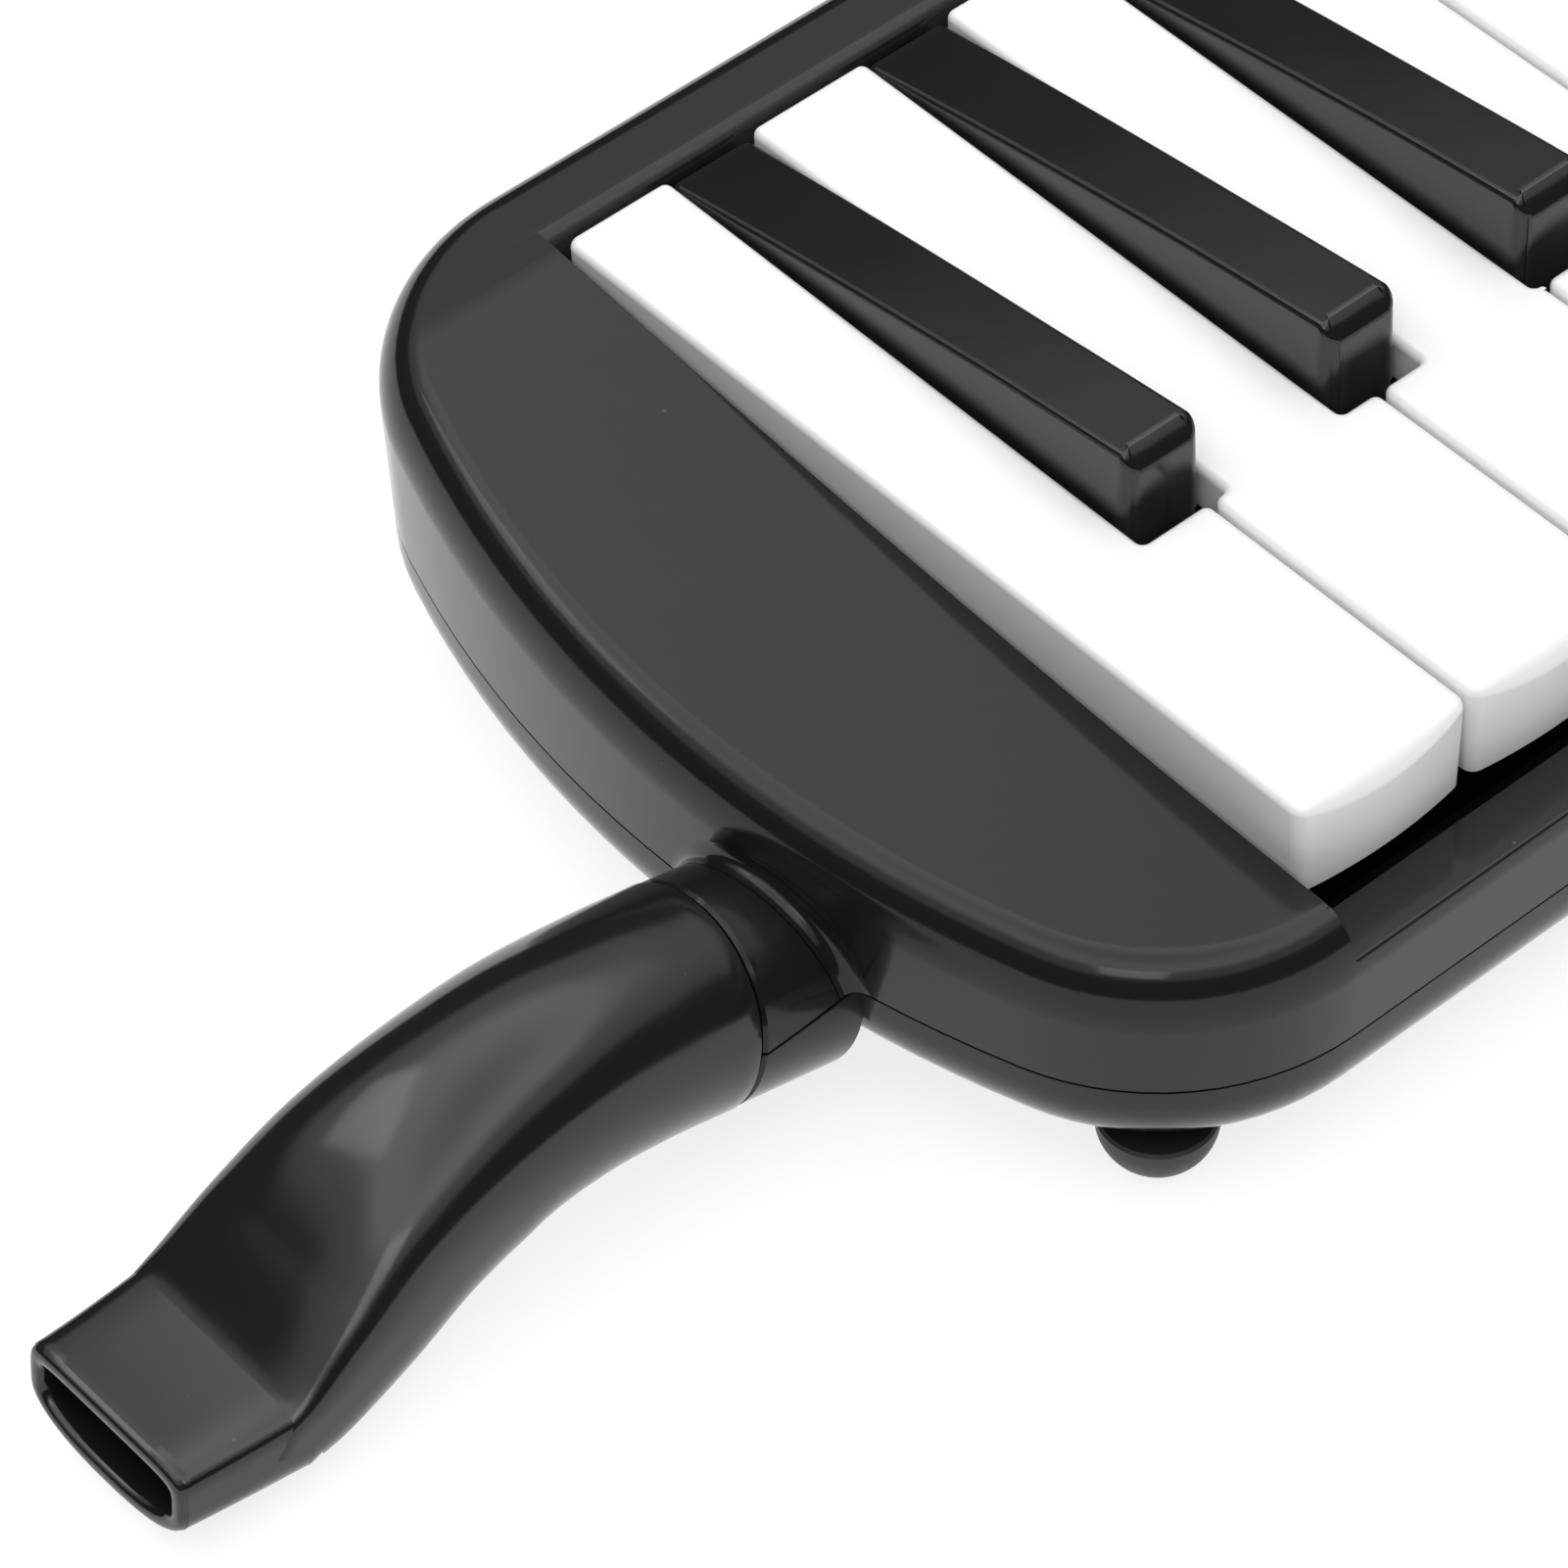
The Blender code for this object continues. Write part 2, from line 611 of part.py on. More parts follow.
def black_rings(middle):
    """Level strips round a black key, from its lower edge up: down one side, back up the other."""
    front = KEYS_REAR - BLACK_LENGTH
    bottom = KEY_TOP - BLACK_SKIRT
    shelf = KEY_TOP - 3.6
    runs = ((0.0, 0.6, bottom, 0.0), (0.0, 0.6, shelf, 0.0), (0.75, 1.5, None, 0.9),
            (1.6, 2.7, None, 0.0))
    rings = []
    for side, nose, level, drop in runs:
        half = BLACK_WIDTH / 2 - side
        length = KEYS_REAR - front - nose
        lengthwise = [KEYS_REAR - length * step / BLACK_STEPS for step in range(BLACK_STEPS + 1)]
        heights = [black_top(y) - drop if level is None else level for y in lengthwise]
        right = [(middle + half, y, z) for y, z in zip(lengthwise, heights)]
        left = [(middle - half, y, z) for y, z in zip(lengthwise, heights)]
        rings.append(right + list(reversed(left)))
    return rings


def build_black_key(index, material):
    middle = black_centre(index)
    rings = black_rings(middle)
    count = len(rings[0])
    points = [point for ring in rings for point in ring]
    faces = []
    for base in range(0, (len(rings) - 1) * count, count):
        for corner in range(count):
            after = (corner + 1) % count
            faces.append((base + corner, base + after, base + count + after, base + count + corner))
    for base in (0, (len(rings) - 1) * count):
        for corner in range(count // 2 - 1):
            mate = base + count - 1 - corner
            faces.append((base + corner, base + corner + 1, mate - 1, mate))
    name = "key_%s%d_sharp" % (white_name(index), white_octave(index))
    key = solid(name, points, faces, material, (middle, ROD_Y, ROD_Z))
    half = BLACK_WIDTH / 2 - 1.7
    hollow = box("hollow", (middle - half, KEYS_REAR - BLACK_LENGTH + 2.6, KEY_TOP - BLACK_SKIRT - 1.0),
                 (middle + half, KEYS_REAR - 1.6, KEY_TOP - 3.0), material)
    cut(key, hollow)
    return lever(key, middle, KEY_TOP - 2.2, CHEST_TOP + PAD_GAP, material)


# ---------------------------------------------------------------- action, wind chest and reeds

def lanes():
    """Middle of every note's lane, low to high."""
    places = [tail_middle(index) for index in range(WHITE_COUNT)]
    places += [black_centre(index) for index in range(WHITE_COUNT) if black_centre(index) is not None]
    return sorted(places)


def lane_borders():
    middles = lanes()
    inner = [(low + high) / 2 for low, high in zip(middles, middles[1:])]
    return [CHEST_LEFT + CHEST_WALL] + inner + [CHEST_RIGHT - CHEST_WALL]


def tower_places():
    """Rod bearings stand between two lanes, evenly along the chest."""
    middles = lanes()
    return [(middles[index] + middles[index + 1]) / 2 for index in range(0, len(middles) - 1, 6)]


def chest_voids(material):
    """What is hollowed from the chest: plenum, plate seat, one cell and one port per reed."""
    wall = CHEST_WALL
    plenum = box("plenum", (CHEST_LEFT + wall, CHEST_STEP_FRONT + wall, CHEST_BOTTOM - 2.0),
                 (CHEST_RIGHT - wall, CHEST_REAR - wall, CELL_BOTTOM - REED_PLATE - 2 * GAP), material)
    seat = box("seat", (CHEST_LEFT + wall, CHEST_FRONT + wall, CELL_BOTTOM - 4.0),
               (CHEST_RIGHT - wall, CHEST_REAR - wall, CELL_BOTTOM), material)
    borders = lane_borders()
    cells = boxes("cells", [((low + 0.5, CHEST_FRONT + wall + 1.5, CELL_BOTTOM - 1.0),
                             (high - 0.5, CHEST_REAR - wall - 1.5, CHEST_TOP - wall))
                            for low, high in zip(borders, borders[1:])], material)
    ports = boxes("ports", [((x - PORT_HALF, PAD_Y - PORT_REACH, CHEST_TOP - wall - 1.0),
                             (x + PORT_HALF, PAD_Y + PORT_REACH, CHEST_TOP + 1.0))
                            for x in lanes()], material)
    return plenum, seat, cells, ports


def build_wind_chest(material):
    chest = box("wind_chest", (CHEST_LEFT, CHEST_FRONT, CHEST_BOTTOM),
                (CHEST_RIGHT, CHEST_REAR, CHEST_TOP), material)
    step = box("step", (CHEST_LEFT, CHEST_STEP_FRONT, CHEST_BOTTOM),
               (CHEST_RIGHT, CHEST_FRONT + 1.0, CHEST_STEP_TOP), material)
    elbow = SEAM.x + 6.5
    duct = turned("duct", (0.0, SEAM.y, DUCT_Z), (1, 0, 0),
                  ((elbow, SPIGOT_RADIUS), (CHEST_LEFT + 1.0, SPIGOT_RADIUS)), 20, material)
    spigot = turned("spigot", SEAM, AXIS_OUT,
                    ((-8.0, SPIGOT_RADIUS), (SPIGOT_REACH, SPIGOT_RADIUS)), 20, material)
    towers = [box("tower", (x - 0.8, ROD_Y - 2.6, CHEST_TOP - 0.5),
                  (x + 0.8, ROD_Y + 2.6, ROD_Z + 2.4), material) for x in tower_places()]
    join(chest, step, duct, spigot, *towers)
    rod_bore = turned("rod", (0.0, ROD_Y, ROD_Z), (1, 0, 0),
                      ((CHEST_LEFT - 5.0, HOOK_BORE), (CHEST_RIGHT + 5.0, HOOK_BORE)), 12, material)
    duct_bore = turned("bore", (0.0, SEAM.y, DUCT_Z), (1, 0, 0),
                       ((elbow - 1.5, SPIGOT_BORE), (CHEST_LEFT + 4.0, SPIGOT_BORE)), 20, material)
    spigot_bore = turned("bore", SEAM, AXIS_OUT,
                         ((-7.0, SPIGOT_BORE), (SPIGOT_REACH + 2.0, SPIGOT_BORE)), 20, material)
    return cut(chest, *chest_voids(material), rod_bore, duct_bore, spigot_bore)


def reed_slot(x, index):
    """The narrow U round one reed's tongue, in plan. Lower notes have longer reeds."""
    share = index / (len(lanes()) - 1)
    length = LOWEST_REED * (HIGHEST_REED / LOWEST_REED) ** share
    rear = KEYS_REAR - 4.0
    front = rear - length
    outer = REED_HALF + REED_SLIT
    return [(x - outer, rear), (x + outer, rear), (x + outer, front), (x + REED_HALF, front),
            (x + REED_HALF, rear - REED_SLIT), (x - REED_HALF, rear - REED_SLIT),
            (x - REED_HALF, front), (x - outer, front)]


def build_reed_plates(material):
    """Two brass plates, one for the low half of the notes and one for the high half."""
    middles = lanes()
    half = len(middles) // 2
    divide = (middles[half - 1] + middles[half]) / 2
    top = CELL_BOTTOM - GAP
    front = CHEST_FRONT + CHEST_WALL + GAP
    rear = CHEST_REAR - CHEST_WALL - GAP
    low_end = CHEST_LEFT + CHEST_WALL + GAP
    high_end = CHEST_RIGHT - CHEST_WALL - GAP
    plates = (("reed_plate_low", low_end, divide - GAP / 2, range(half)),
              ("reed_plate_high", divide + GAP / 2, high_end, range(half, len(middles))))
    for name, low, high, notes in plates:
        plate = box(name, (low, front, top - REED_PLATE), (high, rear, top), material)
        bases = []
        for index in notes:
            slot = reed_slot(middles[index], index)
            bases.append(([(x, y, top - REED_PLATE - 1.0) for x, y in slot],
                          [(x, y, top + 1.0) for x, y in slot]))
        cut(plate, prisms("slots", bases, material))


def build_chest_lid(gasket_material, lid_material):
    top = CHEST_BOTTOM - GAP
    left = CHEST_LEFT + 1.2
    wall = CHEST_WALL
    gasket = box("chest_gasket", (left, CHEST_STEP_FRONT, top - GASKET),
                 (CHEST_RIGHT, CHEST_REAR, top), gasket_material)
    cut(gasket, box("window", (CHEST_LEFT + wall, CHEST_STEP_FRONT + wall, top - 5.0),
                    (CHEST_RIGHT - wall, CHEST_REAR - wall, top + 5.0), gasket_material))
    lid = box("chest_lid", (left, CHEST_STEP_FRONT, LID_BOTTOM),
              (CHEST_RIGHT, CHEST_REAR, LID_TOP), lid_material)
    cut(lid, upright("hole", (DRAIN_X, DRAIN_Y), LID_BOTTOM - 3.0, LID_TOP + 3.0,
                     DRAIN_STEM + 0.4, 14, lid_material))


def build_hinge_rod(material):
    turned("hinge_rod", (0.0, ROD_Y, ROD_Z), (1, 0, 0),
           ((KEYS_LEFT + 1.0, ROD_RADIUS), (KEYS_LEFT + KEYS_WIDTH - 1.0, ROD_RADIUS)), 16, material)


def build_spring_comb(material):
    """One strip of spring steel with a finger under every key, drawn at the keys' low position."""
    strip_front = KEYS_REAR - 50.0
    strip_rear = KEYS_REAR - 45.0
    base = CHEST_TOP + GAP
    tip_y = KEYS_REAR - 33.5
    tip_z = KEY_TOP - 4.3
    comb = box("key_spring_comb", (KEYS_LEFT + 2.0, strip_front, base),
               (KEYS_LEFT + KEYS_WIDTH - 2.0, strip_rear, base + 0.5), material)
    finger = ((strip_rear - 1.5, base + 0.1), (tip_y, tip_z - 0.4), (tip_y, tip_z),
              (strip_rear - 1.5, base + 0.45))
    bases = [([(middle - 1.2, y, z) for y, z in finger], [(middle + 1.2, y, z) for y, z in finger])
             for middle in lanes()]
    return join(comb, prisms("fingers", bases, material))


def build_felts(material):
    low = KEYS_LEFT + 1.0
    high = KEYS_LEFT + KEYS_WIDTH - 1.0
    box("white_key_felt", (low, KEYS_REAR - 84.0, STOP_RIB_TOP + GAP),
        (high, KEYS_REAR - 79.0, STOP_RIB_TOP + GAP + FELT), material)
    box("black_key_felt", (low + 2.0, KEYS_REAR - 56.5, CHEST_TOP + GAP),
        (high - 2.0, KEYS_REAR - 52.5, CHEST_TOP + GAP + BLACK_FELT), material)


# ---------------------------------------------------------------- drain valve

def build_drain(button_material, spring_material, rubber_material):
    """A cup-shaped button; the spring stands in the cup and bears on the chest's lid."""
    rim = DRAIN_LOW + DRAIN_HEIGHT
    floor = DRAIN_LOW + DRAIN_FLOOR
    washer_low = LID_TOP + GAP
    washer_high = washer_low + 1.0
    pivot = (DRAIN_X, DRAIN_Y, DRAIN_LOW)
    turned("drain_button", (DRAIN_X, DRAIN_Y, 0.0), (0, 0, 1),
           ((DRAIN_LOW, DRAIN_CAP - 0.6), (DRAIN_LOW + 0.6, DRAIN_CAP), (rim, DRAIN_CAP),
            (rim, DRAIN_CUP), (floor, DRAIN_CUP), (floor, DRAIN_STEM),
            (washer_high + 2.5, DRAIN_STEM)), 20, button_material, pivot)
    inner = DRAIN_STEM + 0.12
    turned("drain_seal", (DRAIN_X, DRAIN_Y, 0.0), (0, 0, 1),
           ((washer_low, inner), (washer_low, DRAIN_SEAL), (washer_high, DRAIN_SEAL),
            (washer_high, inner)), 20, rubber_material, pivot, tube=True)
    low = floor + GAP + SPRING_WIRE
    high = LID_BOTTOM - GAP - SPRING_WIRE
    steps = SPRING_TURNS * 10
    rings = []
    for step in range(steps + 1):
        angle = 2 * math.pi * SPRING_TURNS * step / steps
        outward = Vector((math.cos(angle), math.sin(angle), 0.0))
        centre = Vector((DRAIN_X, DRAIN_Y, low + (high - low) * step / steps)) + SPRING_COIL * outward
        rings.append([centre + SPRING_WIRE * (math.cos(turn) * outward + math.sin(turn) * Vector((0, 0, 1)))
                      for turn in (2 * math.pi * side / 5 for side in range(5))])
    loft("drain_spring", rings, spring_material)


# ---------------------------------------------------------------- mouthpiece

# Route of the middle line from the seam to the beak: along, height, half width,
# height above and below the line, and how square the upper side is.
MOUTHPIECE = (
    (36.6, -20.5, 9.9, 9.9, 9.9, 2.0),
    (44.3, -18.7, 9.9, 9.7, 9.8, 2.0),
    (52.2, -17.6, 9.9, 9.3, 9.6, 2.1),
    (60.1, -18.0, 10.0, 8.6, 9.3, 2.3),
    (68.0, -20.2, 10.3, 7.6, 8.9, 2.8),
    (74.9, -23.8, 10.7, 6.4, 8.2, 3.6),
    (80.8, -27.0, 10.8, 5.1, 7.0, 4.6),
    (85.2, -28.3, 10.6, 4.4, 5.9, 6.0),
    (90.6, -28.2, 10.2, 4.3, 5.0, 7.0),
    (96.4, -27.7, 9.85, 4.1, 4.5, 7.0),
)
MOUTHPIECE_SIDES = 24
MOUTHPIECE_WALL = 1.7


def beak_section(station, tangent, shrink):
    """One cross-section of the mouthpiece, square to its route."""
    along, height, half_width, above, below, square = station
    centre = Vector((KEYS_LEFT - along, SEAM.y, KEY_TOP + height))
    upward = Vector((tangent.z, 0.0, -tangent.x))
    points = []
    for side in range(MOUTHPIECE_SIDES):
        angle = 2 * math.pi * side / MOUTHPIECE_SIDES
        power = 2.0 / (square if math.sin(angle) > 0 else min(square, 2.4))
        across = math.copysign(abs(math.cos(angle)) ** power, math.cos(angle)) * (half_width - shrink)
        reach = (above if math.sin(angle) > 0 else below) - shrink
        rise = math.copysign(abs(math.sin(angle)) ** power, math.sin(angle)) * reach
        points.append(centre + Vector((0.0, across, 0.0)) + upward * rise)
    return points


def route_tangents():
    """Direction of the route at every station, from its two neighbours."""
    tangents = [AXIS_OUT.copy()]
    pairs = list(zip(MOUTHPIECE, MOUTHPIECE[2:])) + [(MOUTHPIECE[-2], MOUTHPIECE[-1])]
    for before, after in pairs:
        tangents.append(Vector((before[0] - after[0], 0.0, after[1] - before[1])).normalized())
    return tangents


def round_section(reach, radius):
    """A round section of the socket, with its points in the beak sections' order."""
    centre = SEAM + AXIS_OUT * reach
    upward = Vector((AXIS_OUT.z, 0.0, -AXIS_OUT.x))
    angles = [2 * math.pi * side / MOUTHPIECE_SIDES for side in range(MOUTHPIECE_SIDES)]
    return [centre + radius * (Vector((0.0, math.cos(a), 0.0)) + math.sin(a) * upward) for a in angles]


def build_mouthpiece(material):
    tangents = route_tangents()
    route = list(zip(MOUTHPIECE, tangents))
    outer = [round_section(GAP, MOUTHPIECE[0][2])]
    outer += [beak_section(station, tangent, 0.0) for station, tangent in route[1:]]
    airway = [beak_section(station, tangent, MOUTHPIECE_WALL) for station, tangent in reversed(route[3:])]
    airway += [round_section(SOCKET_DEPTH + 1.0, SPIGOT_RADIUS),
               round_section(SOCKET_DEPTH, SOCKET_RADIUS), round_section(GAP, SOCKET_RADIUS)]
    return loft("mouthpiece", outer + airway, material, SEAM, tube=True)


def build_seal(material):
    profile = ((SEAL_START, SLEEVE_INNER), (SEAL_START, SLEEVE_OUTER), (SEAL_STOP, SLEEVE_OUTER),
               (SEAL_STOP, SLEEVE_INNER))
    turned("mouthpiece_seal", SEAM, AXIS_OUT, profile, 24, material, SEAM, tube=True)


# ---------------------------------------------------------------- assembly

def main():
    for thing in list(bpy.data.objects):
        bpy.data.objects.remove(thing)
    black = plastic("black gloss plastic", (0.012, 0.012, 0.013), 0.12)
    white = plastic("white key plastic", (0.86, 0.86, 0.84), 0.22)
    grey = plastic("chest plastic", (0.18, 0.18, 0.19), 0.45)
    rubber = plastic("black rubber", (0.02, 0.02, 0.02), 0.65)
    felt = plastic("green felt", (0.05, 0.16, 0.09), 0.95)
    brass = plastic("reed brass", (0.72, 0.55, 0.26), 0.3, 1.0)
    steel = plastic("steel", (0.6, 0.6, 0.62), 0.25, 1.0)
    build_top_case(black)
    build_bottom_case(black)
    build_feet(rubber)
    build_screws(steel)
    build_wind_chest(grey)
    build_reed_plates(brass)
    build_chest_lid(rubber, grey)
    build_hinge_rod(steel)
    build_spring_comb(steel)
    build_felts(felt)
    build_drain(black, steel, rubber)
    build_mouthpiece(black)
    build_seal(rubber)
    for index in range(WHITE_COUNT):
        build_white_key(index, white)
        if black_centre(index) is not None:
            build_black_key(index, black)


main()
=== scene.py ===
"""Looks for the 32-key melodica: detailed visible pieces, materials, studio light and camera.

The drawing is in millimetres from the key board's datum, the rear left corner of the lowest
white key's top, and the frame gives that datum. mesh_object() turns millimetres into metres.
"""

import math

import bmesh
import bpy
from mathutils import Matrix, Vector
from mathutils.bvhtree import BVHTree


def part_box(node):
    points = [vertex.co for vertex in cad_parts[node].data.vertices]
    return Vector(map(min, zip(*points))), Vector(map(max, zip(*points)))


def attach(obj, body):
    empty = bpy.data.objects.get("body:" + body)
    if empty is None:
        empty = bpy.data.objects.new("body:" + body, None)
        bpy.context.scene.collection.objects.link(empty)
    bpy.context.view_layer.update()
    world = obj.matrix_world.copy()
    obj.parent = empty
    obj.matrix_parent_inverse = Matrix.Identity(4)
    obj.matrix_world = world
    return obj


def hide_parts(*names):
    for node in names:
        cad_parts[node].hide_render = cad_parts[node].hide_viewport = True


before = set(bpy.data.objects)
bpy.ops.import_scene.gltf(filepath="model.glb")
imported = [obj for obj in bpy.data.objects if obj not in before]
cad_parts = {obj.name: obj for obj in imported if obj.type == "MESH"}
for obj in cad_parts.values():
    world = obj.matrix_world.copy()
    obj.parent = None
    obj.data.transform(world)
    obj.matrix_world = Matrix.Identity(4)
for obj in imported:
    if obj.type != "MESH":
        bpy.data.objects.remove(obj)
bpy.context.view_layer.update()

MM = 0.001

# ---------------------------------------------------------------- driving sizes, millimetres

PITCH = 19.2                 # one white key and its gap
WHITE_COUNT = 19
KEY_GAP = 0.6
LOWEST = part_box("key_F3")
KEYS_LEFT = LOWEST[0].x / MM - KEY_GAP / 2
KEYS_REAR = LOWEST[1].y / MM
KEY_TOP = LOWEST[1].z / MM
KEYS_WIDTH = PITCH * WHITE_COUNT
WHITE_LENGTH = 91.0
WHITE_DEPTH = 9.9
TAIL_DEPTH = 4.5
FRONT_BOW = 0.9              # how far a white key's front bows out in plan
NOTCH = 59.7                 # length of the notches for the black keys
APRON_SIDE = 1.9             # outer side of the two end keys, beside the chest
APRON_REAR = 25.0
APRON_DEPTH = 8.0
BLACK_SLOT = 9.4
BLACK_WIDTH = 8.8
BLACK_LENGTH = 57.6
BLACK_RISE = 6.8
BLACK_SHIFT = 0.37
WHITE_NAMES = ("F", "G", "A", "B", "C", "D", "E")
BLACK_OFFSETS = {"F": -3.2, "G": 0.0, "A": 3.2, "C": -1.6, "D": 1.6}

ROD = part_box("hinge_rod")
ROD_Y = (ROD[0].y + ROD[1].y) / 2 / MM
ROD_Z = (ROD[0].z + ROD[1].z) / 2 / MM
HOOK_BORE = 1.1
HOOK_RADIUS = 2.4
CHEST_TOP = KEY_TOP - 11.5
PAD_Y = KEYS_REAR - 6.0
PAD_GAP = 2.8

END_REACH = 25.1             # from the outer keys to the shoulder line's farthest point
SHOULDER_FRONT = KEYS_REAR - 93.9
SHOULDER_REAR = KEYS_REAR + 7.2
END_RADIUS = 113.0
CORNER_RADIUS = 19.7
FLARE = 4.0
SHOULDER_DROP = 6.0
PANEL_DROP = 5.8
WALL = 2.2
PARTING_Z = KEY_TOP - 19.7
PARTING_FLARE = 3.6
PARTING_GAP = 0.3
CASE_BOTTOM = KEY_TOP - 29.5
BOTTOM_ROUND = 8.0
RAIL_TOP = KEY_TOP - 10.4
RAIL_REAR = KEYS_REAR - 92.4
RAIL_THICK = 2.4
WINDOW_LEFT = KEYS_LEFT - 0.5
WINDOW_RIGHT = KEYS_LEFT + KEYS_WIDTH + 0.5
WINDOW_REAR = KEYS_REAR + 0.8

COLLAR_TILT = math.radians(14.0)
AXIS_OUT = Vector((-math.cos(COLLAR_TILT), 0.0, math.sin(COLLAR_TILT)))
SEAM = Vector((KEYS_LEFT - 36.6, KEYS_REAR - 57.7, KEY_TOP - 20.5))
COLLAR_RADIUS = 9.8
COLLAR_BORE = 7.9
COLLAR_FLOOR = KEY_TOP - 30.2
COLLAR_FILLET = 1.7          # concave round where the collar leaves the wall
RIM_RADIUS = 2.2             # round along the rear edge of the key board's opening
RAIL_ROUND = 1.4
SKIRT = 1.7
FOOT_INSET_X = 11.0
FOOT_INSET_Y = 7.6
FOOT_RADIUS = 5.2
FOOT_FLAT = 2.2
FOOT_STEM = 1.8
FOOT_HOLE = 2.1
SCREW_INSET = 9.5
SCREW_ROWS = (-74.0, -30.0, -13.0)
SCREW_HEAD = 3.0
SCREW_SHANK = 1.2
SCREW_LENGTH = 15.1
POST_RADIUS = 3.4
POST_BORE = 1.5
DRAIN_X = KEYS_LEFT + KEYS_WIDTH - 12.0
DRAIN_Y = KEYS_REAR - 30.0
DRAIN_CAP = 4.5

CORNER_FACETS = 6
FRONT_FACETS = 14
ROUND_FACETS = 7
BLACK_NOSE = 1.6             # plan radius of a black key's front corners
BEAK_SIDES = 96
COLLAR_SIDES = 96

# Camera: azimuth, elevation and roll in degrees, and the point it looks at from the datum.
VIEW = (39.363, 47.013, -2.272)
TARGET = (-27.41, -60.26, 0.0)
DISTANCE = 586.54
LENS = 170.57

# Light of the surroundings against the sine of the elevation.
SKY = ((0.0, 0.02), (0.5, 0.04), (0.57, 0.72), (0.73, 1.0), (0.84, 2.35), (0.93, 2.2), (1.0, 1.6))
FLOOR_GLOW = 0.8
FLOOR_REACH = 4000.0


# ---------------------------------------------------------------- mesh helpers

def mesh_object(name, points, faces):
    """A mesh from points in millimetres, with its faces turned outward."""
    builder = bmesh.new()
    corners = [builder.verts.new(Vector(point) * MM) for point in points]
    for face in faces:
        builder.faces.new([corners[index] for index in face])
    bmesh.ops.recalc_face_normals(builder, faces=builder.faces)
    mesh = bpy.data.meshes.new(name)
    builder.to_mesh(mesh)
    builder.free()
    thing = bpy.data.objects.new(name, mesh)
    bpy.context.scene.collection.objects.link(thing)
    return thing


def band_faces(count, rings, closed=False):
    """Quads between neighbouring rings of equal length."""
    faces = []
    for level in range(rings if closed else rings - 1):
        low = level * count
        high = ((level + 1) % rings) * count
        for index in range(count):
            after = (index + 1) % count
            faces.append((low + index, low + after, high + after, high + index))
    return faces


def loft(name, rings, closed=False):
    """Rings joined in order, with plain caps unless the last ring joins back to the first."""
    count = len(rings[0])
    faces = band_faces(count, len(rings), closed)
    if not closed:
        faces.append(tuple(range(count)))
        faces.append(tuple(range((len(rings) - 1) * count, len(rings) * count)))
    return mesh_object(name, [point for ring in rings for point in ring], faces)


def strips(base, count):
    """A cap made of strips between the two halves of a ring."""
    faces = []
    for index in range(count // 2 - 1):
        mate = base + count - 1 - index
        faces.append((base + index, base + index + 1, mate - 1, mate))
    return faces


def box(name, low, high):
    ring = ((low[0], low[1]), (high[0], low[1]), (high[0], high[1]), (low[0], high[1]))
    return loft(name, [[(x, y, z) for x, y in ring] for z in (low[2], high[2])])


def circle(centre, radius, axis, sides):
    axis = Vector(axis).normalized()
    across = Vector((1.0, 0.0, 0.0))
    if abs(axis.z) < 0.9:
        across = Vector((0.0, 0.0, 1.0)).cross(axis).normalized()
    along = axis.cross(across)
    angles = [2 * math.pi * step / sides for step in range(sides)]
    return [Vector(centre) + radius * (math.cos(a) * across + math.sin(a) * along) for a in angles]


def turned(name, centre, axis, profile, sides=48, closed=False):
    """A round piece from (distance along the axis, radius) pairs."""
    direction = Vector(axis).normalized()
    rings = [circle(Vector(centre) + direction * reach, radius, direction, sides)
             for reach, radius in profile]
    return loft(name, rings, closed)


def combine(target, tool, operation):
    modifier = target.modifiers.new("shape", "BOOLEAN")
    modifier.operation = operation
    modifier.solver = "EXACT"
    modifier.object = tool
    graph = bpy.context.evaluated_depsgraph_get()
    mesh = bpy.data.meshes.new_from_object(target.evaluated_get(graph))
    target.modifiers.clear()
    target.data = mesh
    bpy.data.objects.remove(tool)


def cut(target, *tools):
    for tool in tools:
        combine(target, tool, "DIFFERENCE")
    return target


def join(target, *tools):
    for tool in tools:
        combine(target, tool, "UNION")
    return target


def merge(target, *others):
    """Adds other closed meshes to a mesh without cutting them together."""
    builder = bmesh.new()
    builder.from_mesh(target.data)
    for other in others:
        builder.from_mesh(other.data)
        bpy.data.objects.remove(other)
    builder.to_mesh(target.data)
    builder.free()
    return target


def soften(thing, radius, chosen, segments=4):
    """Rounds the edges for which chosen(a, b) holds, with a and b its ends in millimetres."""
    builder = bmesh.new()
    builder.from_mesh(thing.data)
    bmesh.ops.remove_doubles(builder, verts=builder.verts, dist=0.002 * MM)
    edges = [edge for edge in builder.edges
             if chosen(edge.verts[0].co / MM, edge.verts[1].co / MM)
             and len(edge.link_faces) == 2 and edge.calc_face_angle(0.0) > math.radians(20.0)]
    bmesh.ops.bevel(builder, geom=edges, offset=radius * MM, offset_type="OFFSET",
                    segments=segments, profile=0.5, affect="EDGES", clamp_overlap=True)
    builder.to_mesh(thing.data)
    builder.free()
    return thing


def piece(thing, body, slot, material, *nodes, angle=32.0):
    """Gives a finished mesh its material, shading and body, and the CAD nodes it replaces; slot is
    not used.
    """
    thing.data.materials.clear()
    thing.data.materials.append(material)
    thing.data.shade_smooth()
    thing.data.set_sharp_from_angle(angle=math.radians(angle))
    weighted = thing.modifiers.new("normals", "WEIGHTED_NORMAL")
    weighted.keep_sharp = True
    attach(thing, body)
    if nodes:
        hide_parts(*nodes)
    return thing


# ---------------------------------------------------------------- materials

